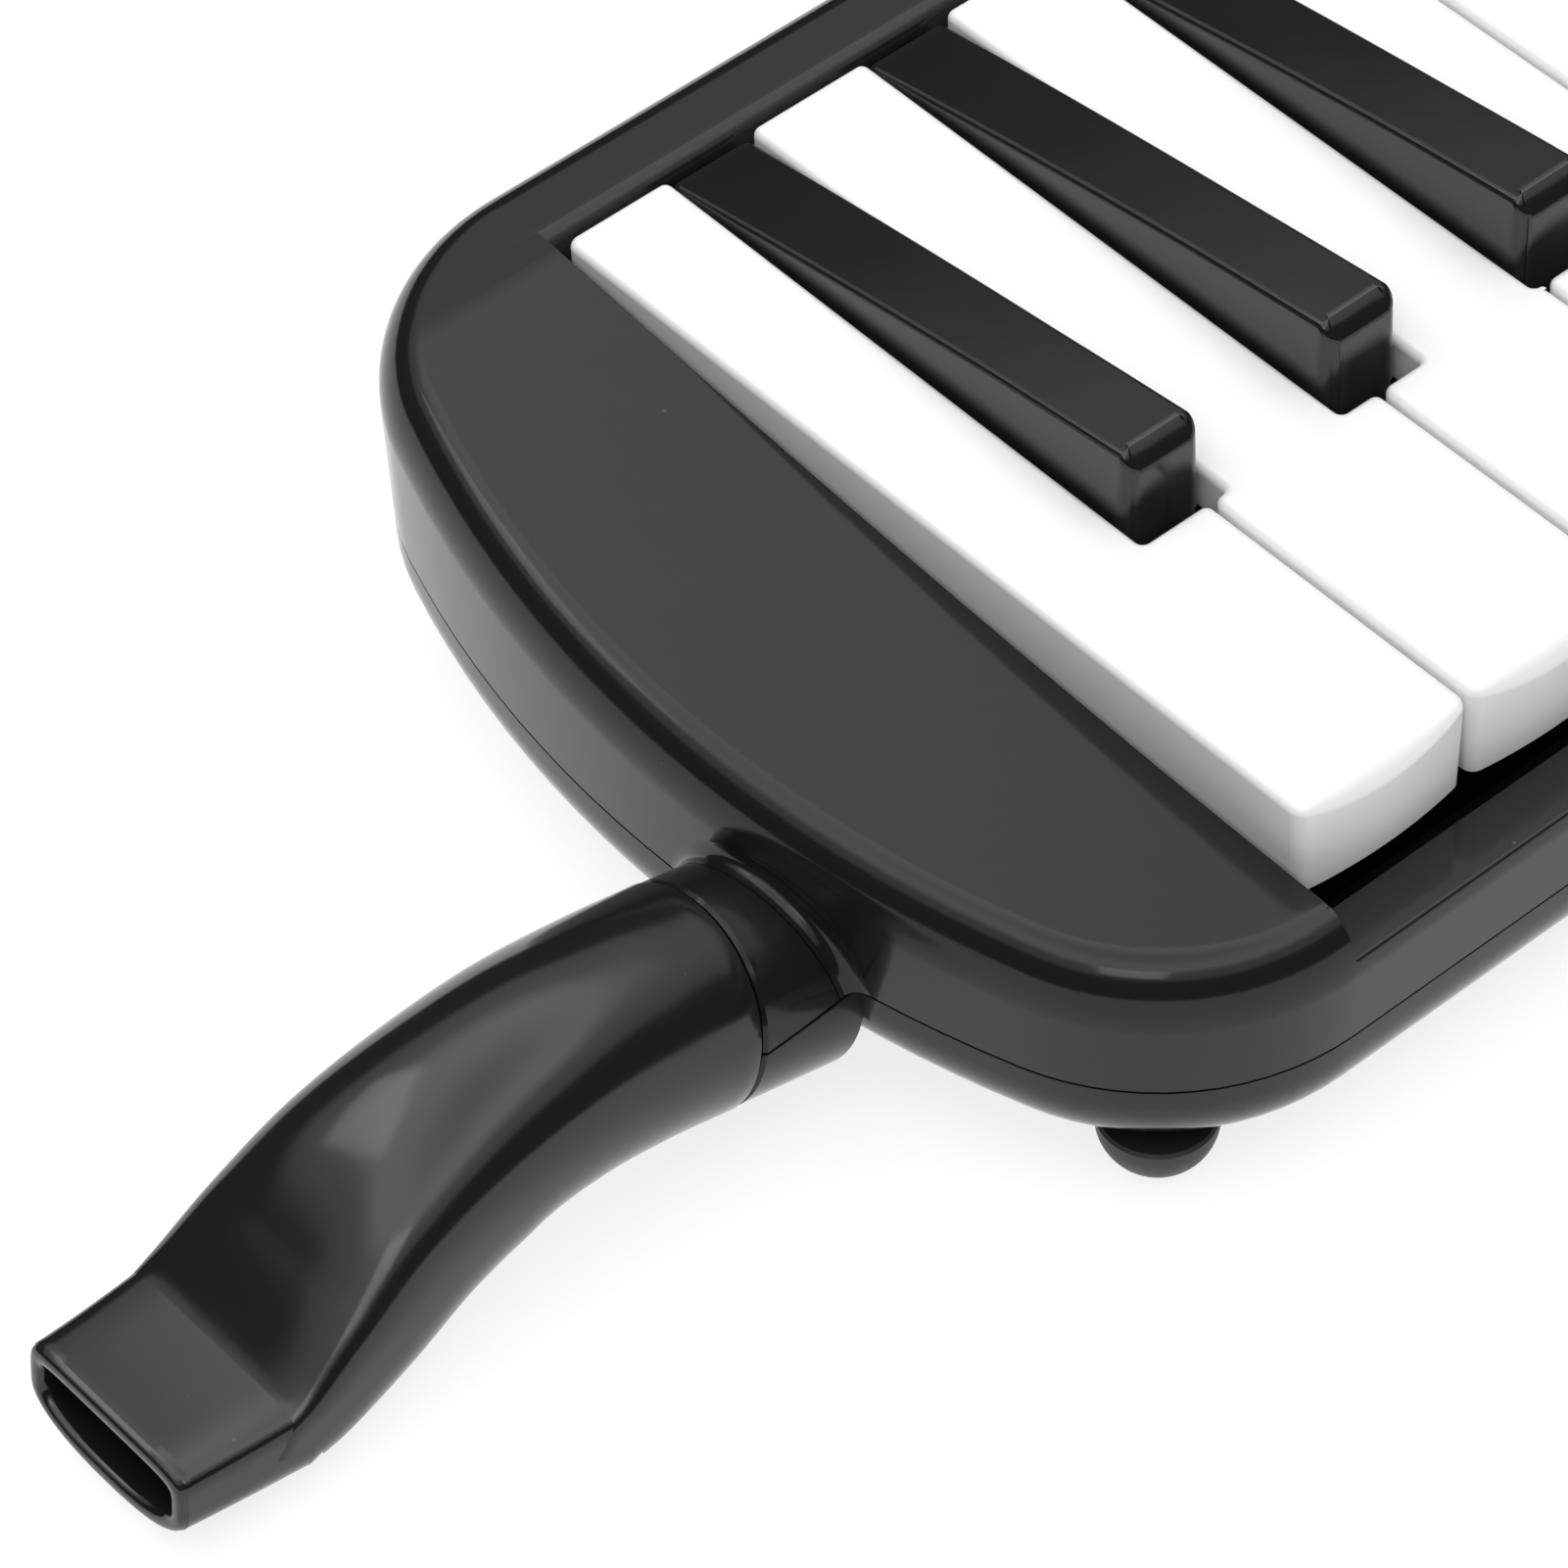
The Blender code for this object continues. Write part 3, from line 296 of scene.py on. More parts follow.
class Recipe:
    """A material's nodes, placed one after the other."""

    def __init__(self, name, colour, roughness, metallic=0.0):
        self.material = bpy.data.materials.new(name)
        self.material.use_nodes = True
        self.nodes = self.material.node_tree.nodes
        self.links = self.material.node_tree.links
        self.shader = self.nodes["Principled BSDF"]
        self.shader.inputs["Base Color"].default_value = (*colour, 1.0)
        self.shader.inputs["Roughness"].default_value = roughness
        self.shader.inputs["Metallic"].default_value = metallic
        self.place = self.add("ShaderNodeTexCoord").outputs["Object"]

    def add(self, kind, **settings):
        node = self.nodes.new(kind)
        for key, value in settings.items():
            setattr(node, key, value)
        return node

    def noise(self, scale, detail=3.0, stretch=None):
        texture = self.add("ShaderNodeTexNoise")
        texture.inputs["Scale"].default_value = scale
        texture.inputs["Detail"].default_value = detail
        place = self.place
        if stretch is not None:
            mapping = self.add("ShaderNodeMapping")
            mapping.inputs["Scale"].default_value = stretch
            self.links.new(place, mapping.inputs["Vector"])
            place = mapping.outputs["Vector"]
        self.links.new(place, texture.inputs["Vector"])
        return texture.outputs["Fac"]

    def spread(self, value, low, high, start=0.3, stop=0.7):
        """Maps a texture's range start..stop onto low..high."""
        ranged = self.add("ShaderNodeMapRange")
        limits = {"From Min": start, "From Max": stop, "To Min": low, "To Max": high}
        for name, number in limits.items():
            ranged.inputs[name].default_value = number
        self.links.new(value, ranged.inputs["Value"])
        return ranged.outputs["Result"]

    def vary_roughness(self, value):
        self.links.new(value, self.shader.inputs["Roughness"])

    def mix(self, share, first, second):
        blend = self.add("ShaderNodeMix", data_type="RGBA")
        blend.inputs["A"].default_value = (*first, 1.0)
        blend.inputs["B"].default_value = (*second, 1.0)
        self.links.new(share, blend.inputs["Factor"])
        self.links.new(blend.outputs["Result"], self.shader.inputs["Base Color"])

    def bump(self, height, strength, distance):
        node = self.add("ShaderNodeBump")
        node.inputs["Strength"].default_value = strength
        node.inputs["Distance"].default_value = distance
        self.links.new(height, node.inputs["Height"])
        if self.shader.inputs["Normal"].is_linked:
            self.links.new(self.shader.inputs["Normal"].links[0].from_socket, node.inputs["Normal"])
        self.links.new(node.outputs["Normal"], self.shader.inputs["Normal"])

    def specks(self, scale, size):
        """One where a small round speck lies, else zero; about one cell in eight has one."""
        cells = self.add("ShaderNodeTexVoronoi")
        cells.inputs["Scale"].default_value = scale
        self.links.new(self.place, cells.inputs["Vector"])
        near = self.spread(cells.outputs["Distance"], 1.0, 0.0, size * 0.6, size)
        pick = self.add("ShaderNodeSeparateColor")
        self.links.new(cells.outputs["Color"], pick.inputs["Color"])
        chosen = self.spread(pick.outputs["Red"], 0.0, 1.0, 0.87, 0.88)
        both = self.add("ShaderNodeMath", operation="MULTIPLY")
        self.links.new(near, both.inputs[0])
        self.links.new(chosen, both.inputs[1])
        return both.outputs["Value"]


def black_gloss(name, roughness, dust=0.05, shine=0.5):
    recipe = Recipe(name, (0.011, 0.011, 0.011), roughness)
    recipe.vary_roughness(recipe.spread(recipe.noise(60.0), roughness * 0.8, roughness * 1.25))
    recipe.bump(recipe.noise(220.0, 2.0), 0.04, 0.0002)
    recipe.mix(recipe.specks(260.0, 0.06), (0.011, 0.011, 0.011), (dust, dust, dust))
    recipe.shader.inputs["IOR"].default_value = 1.5
    recipe.shader.inputs["Specular IOR Level"].default_value = shine
    return recipe.material


def white_gloss():
    recipe = Recipe("white_key_plastic", (0.86, 0.86, 0.855), 0.2)
    recipe.vary_roughness(recipe.spread(recipe.noise(90.0), 0.16, 0.26))
    clouds = recipe.spread(recipe.noise(35.0), 0.0, 1.0)
    recipe.mix(clouds, (0.85, 0.85, 0.845), (0.875, 0.875, 0.87))
    recipe.bump(recipe.noise(400.0, 2.0), 0.03, 0.0001)
    return recipe.material


def moulded(name, colour, roughness):
    """Plain moulded or rubber surface with a fine even grain."""
    recipe = Recipe(name, colour, roughness)
    darker = tuple(channel * 0.8 for channel in colour)
    recipe.mix(recipe.spread(recipe.noise(120.0, 4.0), 0.0, 1.0), darker, colour)
    rougher = min(1.0, roughness * 1.1)
    recipe.vary_roughness(recipe.spread(recipe.noise(300.0), roughness * 0.88, rougher))
    recipe.bump(recipe.noise(2600.0, 2.0), 0.25, 0.00008)
    return recipe.material


def metal(name, colour, roughness, stretch):
    """Metal with fine lines along its drawn or rolled direction."""
    recipe = Recipe(name, colour, roughness, 1.0)
    lines = recipe.noise(900.0, 3.0, stretch)
    recipe.vary_roughness(recipe.spread(lines, roughness * 0.7, roughness * 1.4))
    recipe.mix(recipe.spread(recipe.noise(80.0), 0.0, 1.0), tuple(c * 0.88 for c in colour), colour)
    recipe.bump(lines, 0.15, 0.00005)
    return recipe.material


def felt_cloth(name, colour):
    recipe = Recipe(name, colour, 0.95)
    fibres = recipe.spread(recipe.noise(900.0, 5.0), 0.0, 1.0)
    recipe.mix(fibres, tuple(channel * 0.55 for channel in colour), colour)
    recipe.bump(recipe.noise(2200.0, 5.0), 0.8, 0.0003)
    recipe.shader.inputs["Sheen Weight"].default_value = 0.5
    recipe.shader.inputs["Sheen Roughness"].default_value = 0.6
    return recipe.material


CASE_BLACK = black_gloss("case_gloss_black", 0.12, shine=0.32)
MOUTHPIECE_BLACK = black_gloss("mouthpiece_gloss_black", 0.15)
KEY_BLACK = black_gloss("black_key_plastic", 0.14, 0.03)
KEY_WHITE = white_gloss()
CHEST_GREY = moulded("chest_plastic", (0.17, 0.17, 0.18), 0.5)
FOOT_RUBBER = moulded("foot_rubber", (0.02, 0.02, 0.02), 0.48)
SEAL_RUBBER = moulded("seal_rubber", (0.03, 0.03, 0.03), 0.5)
STEEL = metal("drawn_steel", (0.62, 0.62, 0.64), 0.24, (1.0, 0.04, 1.0))
SPRING_STEEL = metal("spring_steel", (0.56, 0.55, 0.53), 0.3, (1.0, 0.05, 1.0))
BRASS = metal("reed_brass", (0.78, 0.6, 0.28), 0.28, (0.05, 1.0, 1.0))
FELT_GREEN = felt_cloth("stop_felt", (0.05, 0.17, 0.09))
PAD_FELT = felt_cloth("pad_felt", (0.5, 0.47, 0.42))


# ---------------------------------------------------------------- case outline

CORNER_STEPS = 14
END_STEPS = 22
ROUND_STEPS = 12


def arc(centre, radius, start, stop, steps):
    """Points on an arc in plan, each with its outward direction."""
    points = []
    for step in range(steps + 1):
        angle = start + (stop - start) * step / steps
        outward = Vector((math.cos(angle), math.sin(angle)))
        points.append((centre + radius * outward, outward))
    return points


def half_outline():
    """Left half of the shoulder line, front to rear."""
    middle_y = (SHOULDER_FRONT + SHOULDER_REAR) / 2
    end_centre = Vector((KEYS_LEFT - END_REACH + END_RADIUS, middle_y))
    corner_y = SHOULDER_FRONT + CORNER_RADIUS
    reach = END_RADIUS - CORNER_RADIUS
    corner_x = end_centre.x - math.sqrt(reach ** 2 - (middle_y - corner_y) ** 2)
    swing = math.asin((middle_y - corner_y) / reach)
    front = arc(Vector((corner_x, corner_y)), CORNER_RADIUS,
                1.5 * math.pi, math.pi + swing, CORNER_STEPS)
    end = arc(end_centre, END_RADIUS, math.pi + swing, math.pi - swing, END_STEPS)
    rear = arc(Vector((corner_x, 2 * middle_y - corner_y)), CORNER_RADIUS,
               math.pi - swing, 0.5 * math.pi, CORNER_STEPS)
    return front + end[1:] + rear[1:]


def case_ring(flare, height):
    """The shoulder line moved outward by a flare, at a height given as a function of y."""
    mirror = 2 * KEYS_LEFT + KEYS_WIDTH
    left = [(point + outward * flare, point.y) for point, outward in half_outline()]
    ring = [(place.x, place.y, height(y)) for place, y in left]
    return ring + [(mirror - place.x, place.y, height(y)) for place, y in reversed(left)]


def case_solid(name, levels):
    rings = [case_ring(flare, height) for flare, height in levels]
    count = len(rings[0])
    faces = band_faces(count, len(rings))
    faces += strips(0, count) + strips((len(rings) - 1) * count, count)
    return mesh_object(name, [point for ring in rings for point in ring], faces)


def panel_height(y):
    """Top of the case: almost level with the keys at the rear, lower and flatter at the front."""
    forward = min(1.0, max(0.0, (KEYS_REAR - y) / (KEYS_REAR - SHOULDER_FRONT)))
    return KEY_TOP - 0.6 - PANEL_DROP * (1.0 - (1.0 - forward) ** 1.7)


def top_levels(depth):
    """Levels of the top case's outer surface, or of its inner one at the given depth."""
    levels = [(PARTING_FLARE - depth, lambda y: PARTING_Z - 1.0 - depth)]
    for step in range(ROUND_STEPS, -1, -1):
        angle = math.pi / 2 * step / ROUND_STEPS
        flare = FLARE * math.sin(angle) - depth
        drop = SHOULDER_DROP * (1.0 - math.cos(angle)) + depth
        levels.append((flare, lambda y, drop=drop: panel_height(y) - drop))
    return levels


def bottom_levels(depth):
    """Levels of the bottom case, from its flat floor to just past the parting plane."""
    levels = []
    for step in range(ROUND_STEPS + 1):
        angle = math.pi / 2 * step / ROUND_STEPS
        flare = PARTING_FLARE - BOTTOM_ROUND * (1.0 - math.sin(angle)) - depth
        height = CASE_BOTTOM + BOTTOM_ROUND * (1.0 - math.cos(angle)) + depth
        levels.append((flare, lambda y, height=height: height))
    levels.append((PARTING_FLARE - depth, lambda y: PARTING_Z + 1.0 + depth))
    return levels


def collar_shape(radius, floor, start, stop):
    """A round bar on the mouthpiece axis with its underside cut level at the given floor."""
    profile = ((start, radius), (stop - 0.3, radius), (stop, radius - 0.3))
    shape = turned("collar", SEAM, AXIS_OUT, profile, COLLAR_SIDES)
    below = box("below", (SEAM.x - 40, SEAM.y - 30, floor - 40), (SEAM.x + 40, SEAM.y + 30, floor))
    return cut(shape, below)


def half_space(low, high):
    return box("half_space", (-400.0, -200.0, low), (400.0, 200.0, high))


def screw_places():
    left = KEYS_LEFT - SCREW_INSET
    right = KEYS_LEFT + KEYS_WIDTH + SCREW_INSET
    return [(x, KEYS_REAR + y) for x in (left, right) for y in SCREW_ROWS]


def foot_places():
    left = KEYS_LEFT - FOOT_INSET_X
    right = KEYS_LEFT + KEYS_WIDTH + FOOT_INSET_X
    front = SHOULDER_FRONT + FOOT_INSET_Y
    rear = SHOULDER_REAR - FOOT_INSET_Y
    return [(x, y) for x in (left, right) for y in (front, rear)]


def side_plate(name, outline, x_low, x_high):
    """An outline in (y, z) given thickness along X."""
    return loft(name, [[(x, y, z) for y, z in outline] for x in (x_low, x_high)])


def flared_window():
    """Cutter for the key board's opening, with a broad rounding along its rear edge."""
    rim = panel_height(KEYS_REAR)
    outline = [(RAIL_REAR, CASE_BOTTOM), (WINDOW_REAR, CASE_BOTTOM)]
    for step in range(9):
        angle = math.radians(86.0) * step / 8
        outline.append((WINDOW_REAR + RIM_RADIUS * (1.0 - math.cos(angle)),
                        rim - RIM_RADIUS * (1.0 - math.sin(angle)) + 0.01))
    outline += [(WINDOW_REAR + RIM_RADIUS + 8.0, rim + 6.0), (RAIL_REAR, rim + 6.0)]
    return side_plate("window", outline, WINDOW_LEFT, WINDOW_RIGHT)


def collar_spokes():
    """For directions round the collar: the direction, and the wall's place at two radii."""
    wall = case_solid("wall", [(PARTING_FLARE, lambda y: PARTING_Z - 25.0)] + top_levels(0.0))
    tree = BVHTree.FromObject(wall, bpy.context.evaluated_depsgraph_get())
    bpy.data.objects.remove(wall)
    spokes = []
    for spoke in circle((0.0, 0.0, 0.0), 1.0, AXIS_OUT, COLLAR_SIDES):
        places = []
        for radius in (COLLAR_RADIUS - 0.05, COLLAR_RADIUS + COLLAR_FILLET):
            start = SEAM + spoke * radius + AXIS_OUT * 6.0
            places.append(tree.ray_cast(start * MM, -AXIS_OUT)[0] / MM)
        spokes.append((spoke, *places))
    return spokes


def collar_foot(spokes):
    """A concave ring where the collar leaves the case wall."""
    rings = []
    for spoke, root, edge in spokes:
        top = root + AXIS_OUT * COLLAR_FILLET
        section = [top - spoke * 1.5, top]
        for step in range(1, 8):
            share = step / 8
            section.append(top.lerp(root, share).lerp(root.lerp(edge, share), share))
        section += [edge - AXIS_OUT * 0.02, edge - AXIS_OUT * 1.5]
        section.append(root - AXIS_OUT * 3.0 - spoke * 1.5)
        rings.append(section)
    return loft("collar_foot", rings, closed=True)


GROOVE_SECTION = ((-0.45, -0.12), (0.4, -0.12), (0.4, 0.12), (-0.45, 0.12))


def collar_groove(spokes):
    """A thin cutter for the joint line between the collar and the ring round its foot."""
    rings = []
    for spoke, root, _ in spokes:
        top = root + AXIS_OUT * (COLLAR_FILLET + 0.05)
        rings.append([top + spoke * side + AXIS_OUT * along for side, along in GROOVE_SECTION])
    return loft("groove", rings, closed=True)


def build_top_case():
    case = case_solid("top_shell", top_levels(0.0))
    spokes = collar_spokes()
    cut(case, case_solid("hollow", top_levels(WALL)))
    rail = box("rail", (WINDOW_LEFT - 3.0, SHOULDER_FRONT - FLARE + 1.2, RAIL_TOP - RAIL_THICK),
               (WINDOW_RIGHT + 3.0, RAIL_REAR, RAIL_TOP + 1.5))
    rear = WINDOW_REAR + 1.0
    run = [rear - (rear + 1.0 - RAIL_REAR) * step / 12 for step in range(13)]
    floor = RAIL_TOP - RAIL_THICK + 0.5
    skirt = [(y, panel_height(y) - 1.0) for y in run] + [(run[-1], floor), (run[0], floor)]
    skirts = [side_plate("skirt", skirt, x, x + SKIRT)
              for x in (WINDOW_LEFT - SKIRT + 0.1, WINDOW_RIGHT - 0.1)]
    lip = box("lip", (WINDOW_LEFT - 1.5, WINDOW_REAR - 0.1, KEY_TOP - 6.0),
              (WINDOW_RIGHT + 1.5, WINDOW_REAR + 1.5, KEY_TOP - 1.4))
    posts = [turned("post", (x, y, 0.0), (0, 0, 1),
                    ((CASE_BOTTOM + WALL + 0.3, POST_RADIUS),
                     (panel_height(y) - 1.0, POST_RADIUS)), 32)
             for x, y in screw_places()]
    join(case, collar_shape(COLLAR_RADIUS, COLLAR_FLOOR, -10.8, 0.0), rail, *skirts, lip)
    cut(case, half_space(PARTING_Z - 100.0, PARTING_Z + PARTING_GAP / 2))
    join(case, *posts)
    recess = box("recess", (WINDOW_LEFT, SHOULDER_FRONT - 20.0, RAIL_TOP),
                 (WINDOW_RIGHT, RAIL_REAR + 5.0, KEY_TOP + 20.0))
    bore = collar_shape(COLLAR_BORE, COLLAR_FLOOR + 1.6, -19.0, 4.0)
    bores = [turned("bore", (x, y, 0.0), (0, 0, 1),
                    ((CASE_BOTTOM - 5.0, POST_BORE), (CASE_BOTTOM + 15.5, POST_BORE)), 20)
             for x, y in screw_places()]
    cut(case, flared_window(), recess, bore, collar_groove(spokes), *bores)
    soften(case, 0.6, on_window_side)
    soften(case, RAIL_ROUND, on_rail_front, 8)
    soften(case, 0.25, on_parting)
    foot = cut(collar_foot(spokes), half_space(PARTING_Z - 100.0, PARTING_Z + PARTING_GAP / 2))
    merge(case, foot)
    return piece(case, "case", "case_black", CASE_BLACK, "top_case")


def on_window_side(first, second):
    """Edges of the panel along the two sides of the key board."""
    for point in (first, second):
        beside = min(abs(point.x - WINDOW_LEFT), abs(point.x - WINDOW_RIGHT)) < 0.02
        on_top = abs(point.z - panel_height(point.y)) <= 0.06
        if not beside or not on_top or point.y > WINDOW_REAR - 0.02:
            return False
    return True


def on_rail_front(first, second):
    """The rail's front edge, where its flat top meets the case wall."""
    level = abs(first.z - RAIL_TOP) < 0.02 and abs(second.z - RAIL_TOP) < 0.02
    return level and max(first.y, second.y) < SHOULDER_FRONT and abs(first.y - second.y) < 0.02


def on_parting(first, second):
    """Outer edges along the joint between the two halves of the case."""
    for point in (first, second):
        if abs(abs(point.z - PARTING_Z) - PARTING_GAP / 2) > 0.01:
            return False
        if point.y > SHOULDER_FRONT - 2.0 and point.y < SHOULDER_REAR + 2.0:
            if KEYS_LEFT - END_REACH + 6.0 < point.x < KEYS_LEFT + KEYS_WIDTH + END_REACH - 6.0:
                if abs(point.y - SEAM.y) > 2 * COLLAR_RADIUS:
                    return False
    return abs(first.z - second.z) < 0.01


def build_bottom_case():
    case = case_solid("bottom_shell", bottom_levels(0.0))
    cut(case, case_solid("hollow", bottom_levels(WALL)))
    low, high = KEYS_LEFT + 1.0, KEYS_LEFT + KEYS_WIDTH - 1.0
    ribs = [box("rib", (low, KEYS_REAR - front, CASE_BOTTOM + 1.0), (high, KEYS_REAR - back, top))
            for front, back, top in ((83.0, 80.0, KEY_TOP - 16.6), (88.2, 85.6, KEY_TOP - 15.0))]
    join(case, *ribs, collar_shape(COLLAR_RADIUS, COLLAR_FLOOR, -10.8, 0.0))
    cut(case, half_space(PARTING_Z - PARTING_GAP / 2, PARTING_Z + 100.0))
    seats = ((CASE_BOTTOM - 3.0, 3.3), (CASE_BOTTOM + 0.9, 3.3), (CASE_BOTTOM + 0.9, 1.8),
             (CASE_BOTTOM + 5.0, 1.8))
    holes = [turned("hole", (x, y, 0.0), (0, 0, 1), seats, 32) for x, y in screw_places()]
    holes += [turned("hole", (x, y, 0.0), (0, 0, 1),
                     ((CASE_BOTTOM - 3.0, FOOT_HOLE), (CASE_BOTTOM + 5.0, FOOT_HOLE)), 24)
              for x, y in foot_places()]
    drain_hole = DRAIN_CAP + 0.35
    holes.append(turned("hole", (DRAIN_X, DRAIN_Y, 0.0), (0, 0, 1),
                        ((CASE_BOTTOM - 3.0, drain_hole), (CASE_BOTTOM + 5.0, drain_hole)), 48))
    cut(case, collar_shape(COLLAR_BORE, COLLAR_FLOOR + 1.6, -19.0, 4.0), *holes)
    soften(case, 0.25, on_parting)
    return piece(case, "case", "case_black", CASE_BLACK, "bottom_case")


# ---------------------------------------------------------------- keys

def white_name(index):
    return WHITE_NAMES[index % 7]


def key_name(index, sharp=False):
    return "key_%s%d%s" % (white_name(index), 3 + (index + 3) // 7, "_sharp" if sharp else "")


def black_centre(index):
    """Middle of the black key to the right of a white key, or None where there is none."""
    offset = BLACK_OFFSETS.get(white_name(index))
    if offset is None or not 0 <= index < WHITE_COUNT - 1:
        return None
    return KEYS_LEFT + (index + 1) * PITCH + offset + BLACK_SHIFT


def white_corners(index):
    """A white key's corners, anticlockwise from the front left: (place, plan radius)."""
    left = KEYS_LEFT + index * PITCH + KEY_GAP / 2
    right = KEYS_LEFT + (index + 1) * PITCH - KEY_GAP / 2
    front = KEYS_REAR - WHITE_LENGTH + FRONT_BOW
    notch = KEYS_REAR - NOTCH
    corners = [((left, front), 1.2), ((right, front), 1.2)]
    after = black_centre(index)
    if after is None:
        corners.append(((right, KEYS_REAR), 1.2))
    else:
        edge = after - BLACK_SLOT / 2
        corners += [((right, notch), 0.9), ((edge, notch), 0.6), ((edge, KEYS_REAR), 0.9)]
    before = black_centre(index - 1)
    if before is None:
        corners.append(((left, KEYS_REAR), 1.2))
    else:
        edge = before + BLACK_SLOT / 2
        corners += [((edge, KEYS_REAR), 0.9), ((edge, notch), 0.6), ((left, notch), 0.9)]
    return corners


def corner_place(here, before, after, radius, angle):
    """A point of a rounded corner, as a function of how far the outline is moved inward."""
    convex = (-before).cross(after) > 0
    inward = math.cos(angle) * after + math.sin(angle) * before

    def place(inset):
        reach = max(radius, inset + 0.12) if convex else radius
        arc_radius = reach - inset if convex else reach + inset
        return here + reach * (before + after) - arc_radius * inward

    return place


def white_outline(index):
    """Points round a white key: (place as a function of the inset, radius of the top edge)."""
    corners = white_corners(index)
    count = len(corners)
    left, right = corners[0][0][0], corners[1][0][0]
    outline = []
    for number, (place, radius) in enumerate(corners):
        here = Vector(place)
        before = (Vector(corners[number - 1][0]) - here).normalized()
        after = (Vector(corners[(number + 1) % count][0]) - here).normalized()
        for step in range(CORNER_FACETS + 1):
            angle = math.pi / 2 * step / CORNER_FACETS
            outline.append((corner_place(here, before, after, radius, angle), 0.9))
        if number == 0:
            for step in range(1, FRONT_FACETS):
                share = step / FRONT_FACETS
                spot = Vector((left + 1.2 + (right - left - 2.4) * share, here.y))
                rounder = 0.9 + 1.25 * math.sin(math.pi * share) ** 0.8
                outline.append((lambda inset, spot=spot: spot + Vector((0.0, inset)), rounder))
    return outline


def bow_out(spot, index):
    """Moves the front of a white key's outline forward in a shallow arc."""
    left = KEYS_LEFT + index * PITCH + KEY_GAP / 2
    across = 2 * (spot.x - left) / (PITCH - KEY_GAP) - 1.0
    near = max(0.0, min(1.0, (KEYS_REAR - WHITE_LENGTH + FRONT_BOW + 3.0 - spot.y) / 3.0))
    return spot.y - FRONT_BOW * near * (1.0 - across ** 2)


def key_hook(middle, top):
    """The clip that snaps over the hinge rod, open below, with a web up to the key."""
    opening = math.radians(38.0)
    outer = [(ROD_Y + HOOK_RADIUS * math.sin(angle), ROD_Z - HOOK_RADIUS * math.cos(angle))
             for angle in (opening + math.radians(8.0 * step) for step in range(11))]
    inner = []
    for step in range(17):
        angle = -opening - (2 * math.pi - 2 * opening) * step / 16
        inner.append((ROD_Y + HOOK_BORE * math.sin(angle), ROD_Z - HOOK_BORE * math.cos(angle)))
    left = [(2 * ROD_Y - y, z) for y, z in reversed(outer)]
    web = [(ROD_Y + 3.4, top), (ROD_Y - 3.4, top)]
    return side_plate("clip", outer + web + left + inner, middle - 2.5, middle + 2.5)


def key_arm(middle, top):
    """The arm that carries the pad, with softened lower edges."""
    low = CHEST_TOP + PAD_GAP
    arm = box("arm", (middle - 2.6, PAD_Y - 3.0, low), (middle + 2.6, PAD_Y + 3.0, top))
    return soften(arm, 0.4, lambda a, b: min(a.z, b.z) < low + 0.01)


def build_pad(middle, body):
    """A felt pad with a rounded edge, glued under a key's arm."""
    top = CHEST_TOP + PAD_GAP
    rings = []
    for level, side in ((top, 0.35), (top - 0.25, 0.0), (top - 0.75, 0.0), (top - 0.8, 0.12),
                        (top - 0.85, 0.0), (CHEST_TOP + 0.5, 0.0), (CHEST_TOP + 0.12, 0.4)):
        ring = []
        for sign_x, sign_y, start in ((1, 1, 0), (-1, 1, 90), (-1, -1, 180), (1, -1, 270)):
            centre = Vector((middle + sign_x * 1.9, PAD_Y + sign_y * 2.3, level))
            for step in range(5):
                angle = math.radians(start + 22.5 * step)
                ring.append(centre + (1.0 - side) * Vector((math.cos(angle), math.sin(angle), 0.0)))
        rings.append(ring)
    return piece(loft("pad" + body[3:], rings), body, "stop_felt", PAD_FELT)


def build_white_key(index):
    """A cap hollow from below, with its top edges rounded by different amounts."""
    outline = white_outline(index)
    levels = [(1.8, WHITE_DEPTH, 0.0), (0.5, WHITE_DEPTH, 0.0), (0.2, WHITE_DEPTH - 0.3, 0.0)]
    levels += [(0.0, 0.0, math.pi / 2 * step / ROUND_FACETS) for step in range(ROUND_FACETS + 1)]
    rings = []
    for side, depth, angle in levels:
        ring = []
        for place, radius in outline:
            inset = side if depth else radius * (1.0 - math.cos(angle))
            drop = depth if depth else radius * (1.0 - math.sin(angle))
            spot = place(inset)
            ring.append((spot.x, bow_out(spot, index), KEY_TOP - drop))
        rings.append(ring)
    count = len(outline)
    ceiling = [(x, y, KEY_TOP - 2.0) for x, y, _ in rings[0]]
    faces = band_faces(count, len(rings))
    top = (len(rings) - 1) * count
    faces.append(tuple(range(top, top + count)))
    under = len(rings) * count
    faces += [(step, (step + 1) % count, under + (step + 1) % count, under + step)
              for step in range(count)]
    faces.append(tuple(range(under, under + count)))
    name = key_name(index)
    points = [point for ring in rings for point in ring] + ceiling
    key = mesh_object(name + "_cap", points, faces)
    trim_tail(key, index)
    middle = tail_middle(index)
    merge(key, key_hook(middle, KEY_TOP - 1.4), key_arm(middle, KEY_TOP - 1.4))
    build_pad(middle, name)
    return piece(key, name, "key_white", KEY_WHITE, name)


def trim_tail(key, index):
    """Makes a key's tail shallow, with a deeper apron on the outer side of the end keys."""
    left = KEYS_LEFT + index * PITCH - 1.0
    right = left + PITCH + 2.0
    front = KEYS_REAR - NOTCH + 2.5
    rear = KEYS_REAR + 1.0
    low = KEY_TOP - 20.0
    top = KEY_TOP - TAIL_DEPTH
    if index not in (0, WHITE_COUNT - 1):
        cut(key, box("trim", (left, front, low), (right, rear, top)))
        return
    inner = (left, right - 1.0 - APRON_SIDE)
    if index == 0:
        inner = (left + 1.0 + APRON_SIDE, right)
    cut(key, box("trim", (inner[0], front, low), (inner[1], rear, top)),
        box("trim", (left, KEYS_REAR - APRON_REAR, low), (right, rear, top)),
        box("trim", (left, front, low), (right, rear, KEY_TOP - APRON_DEPTH)))


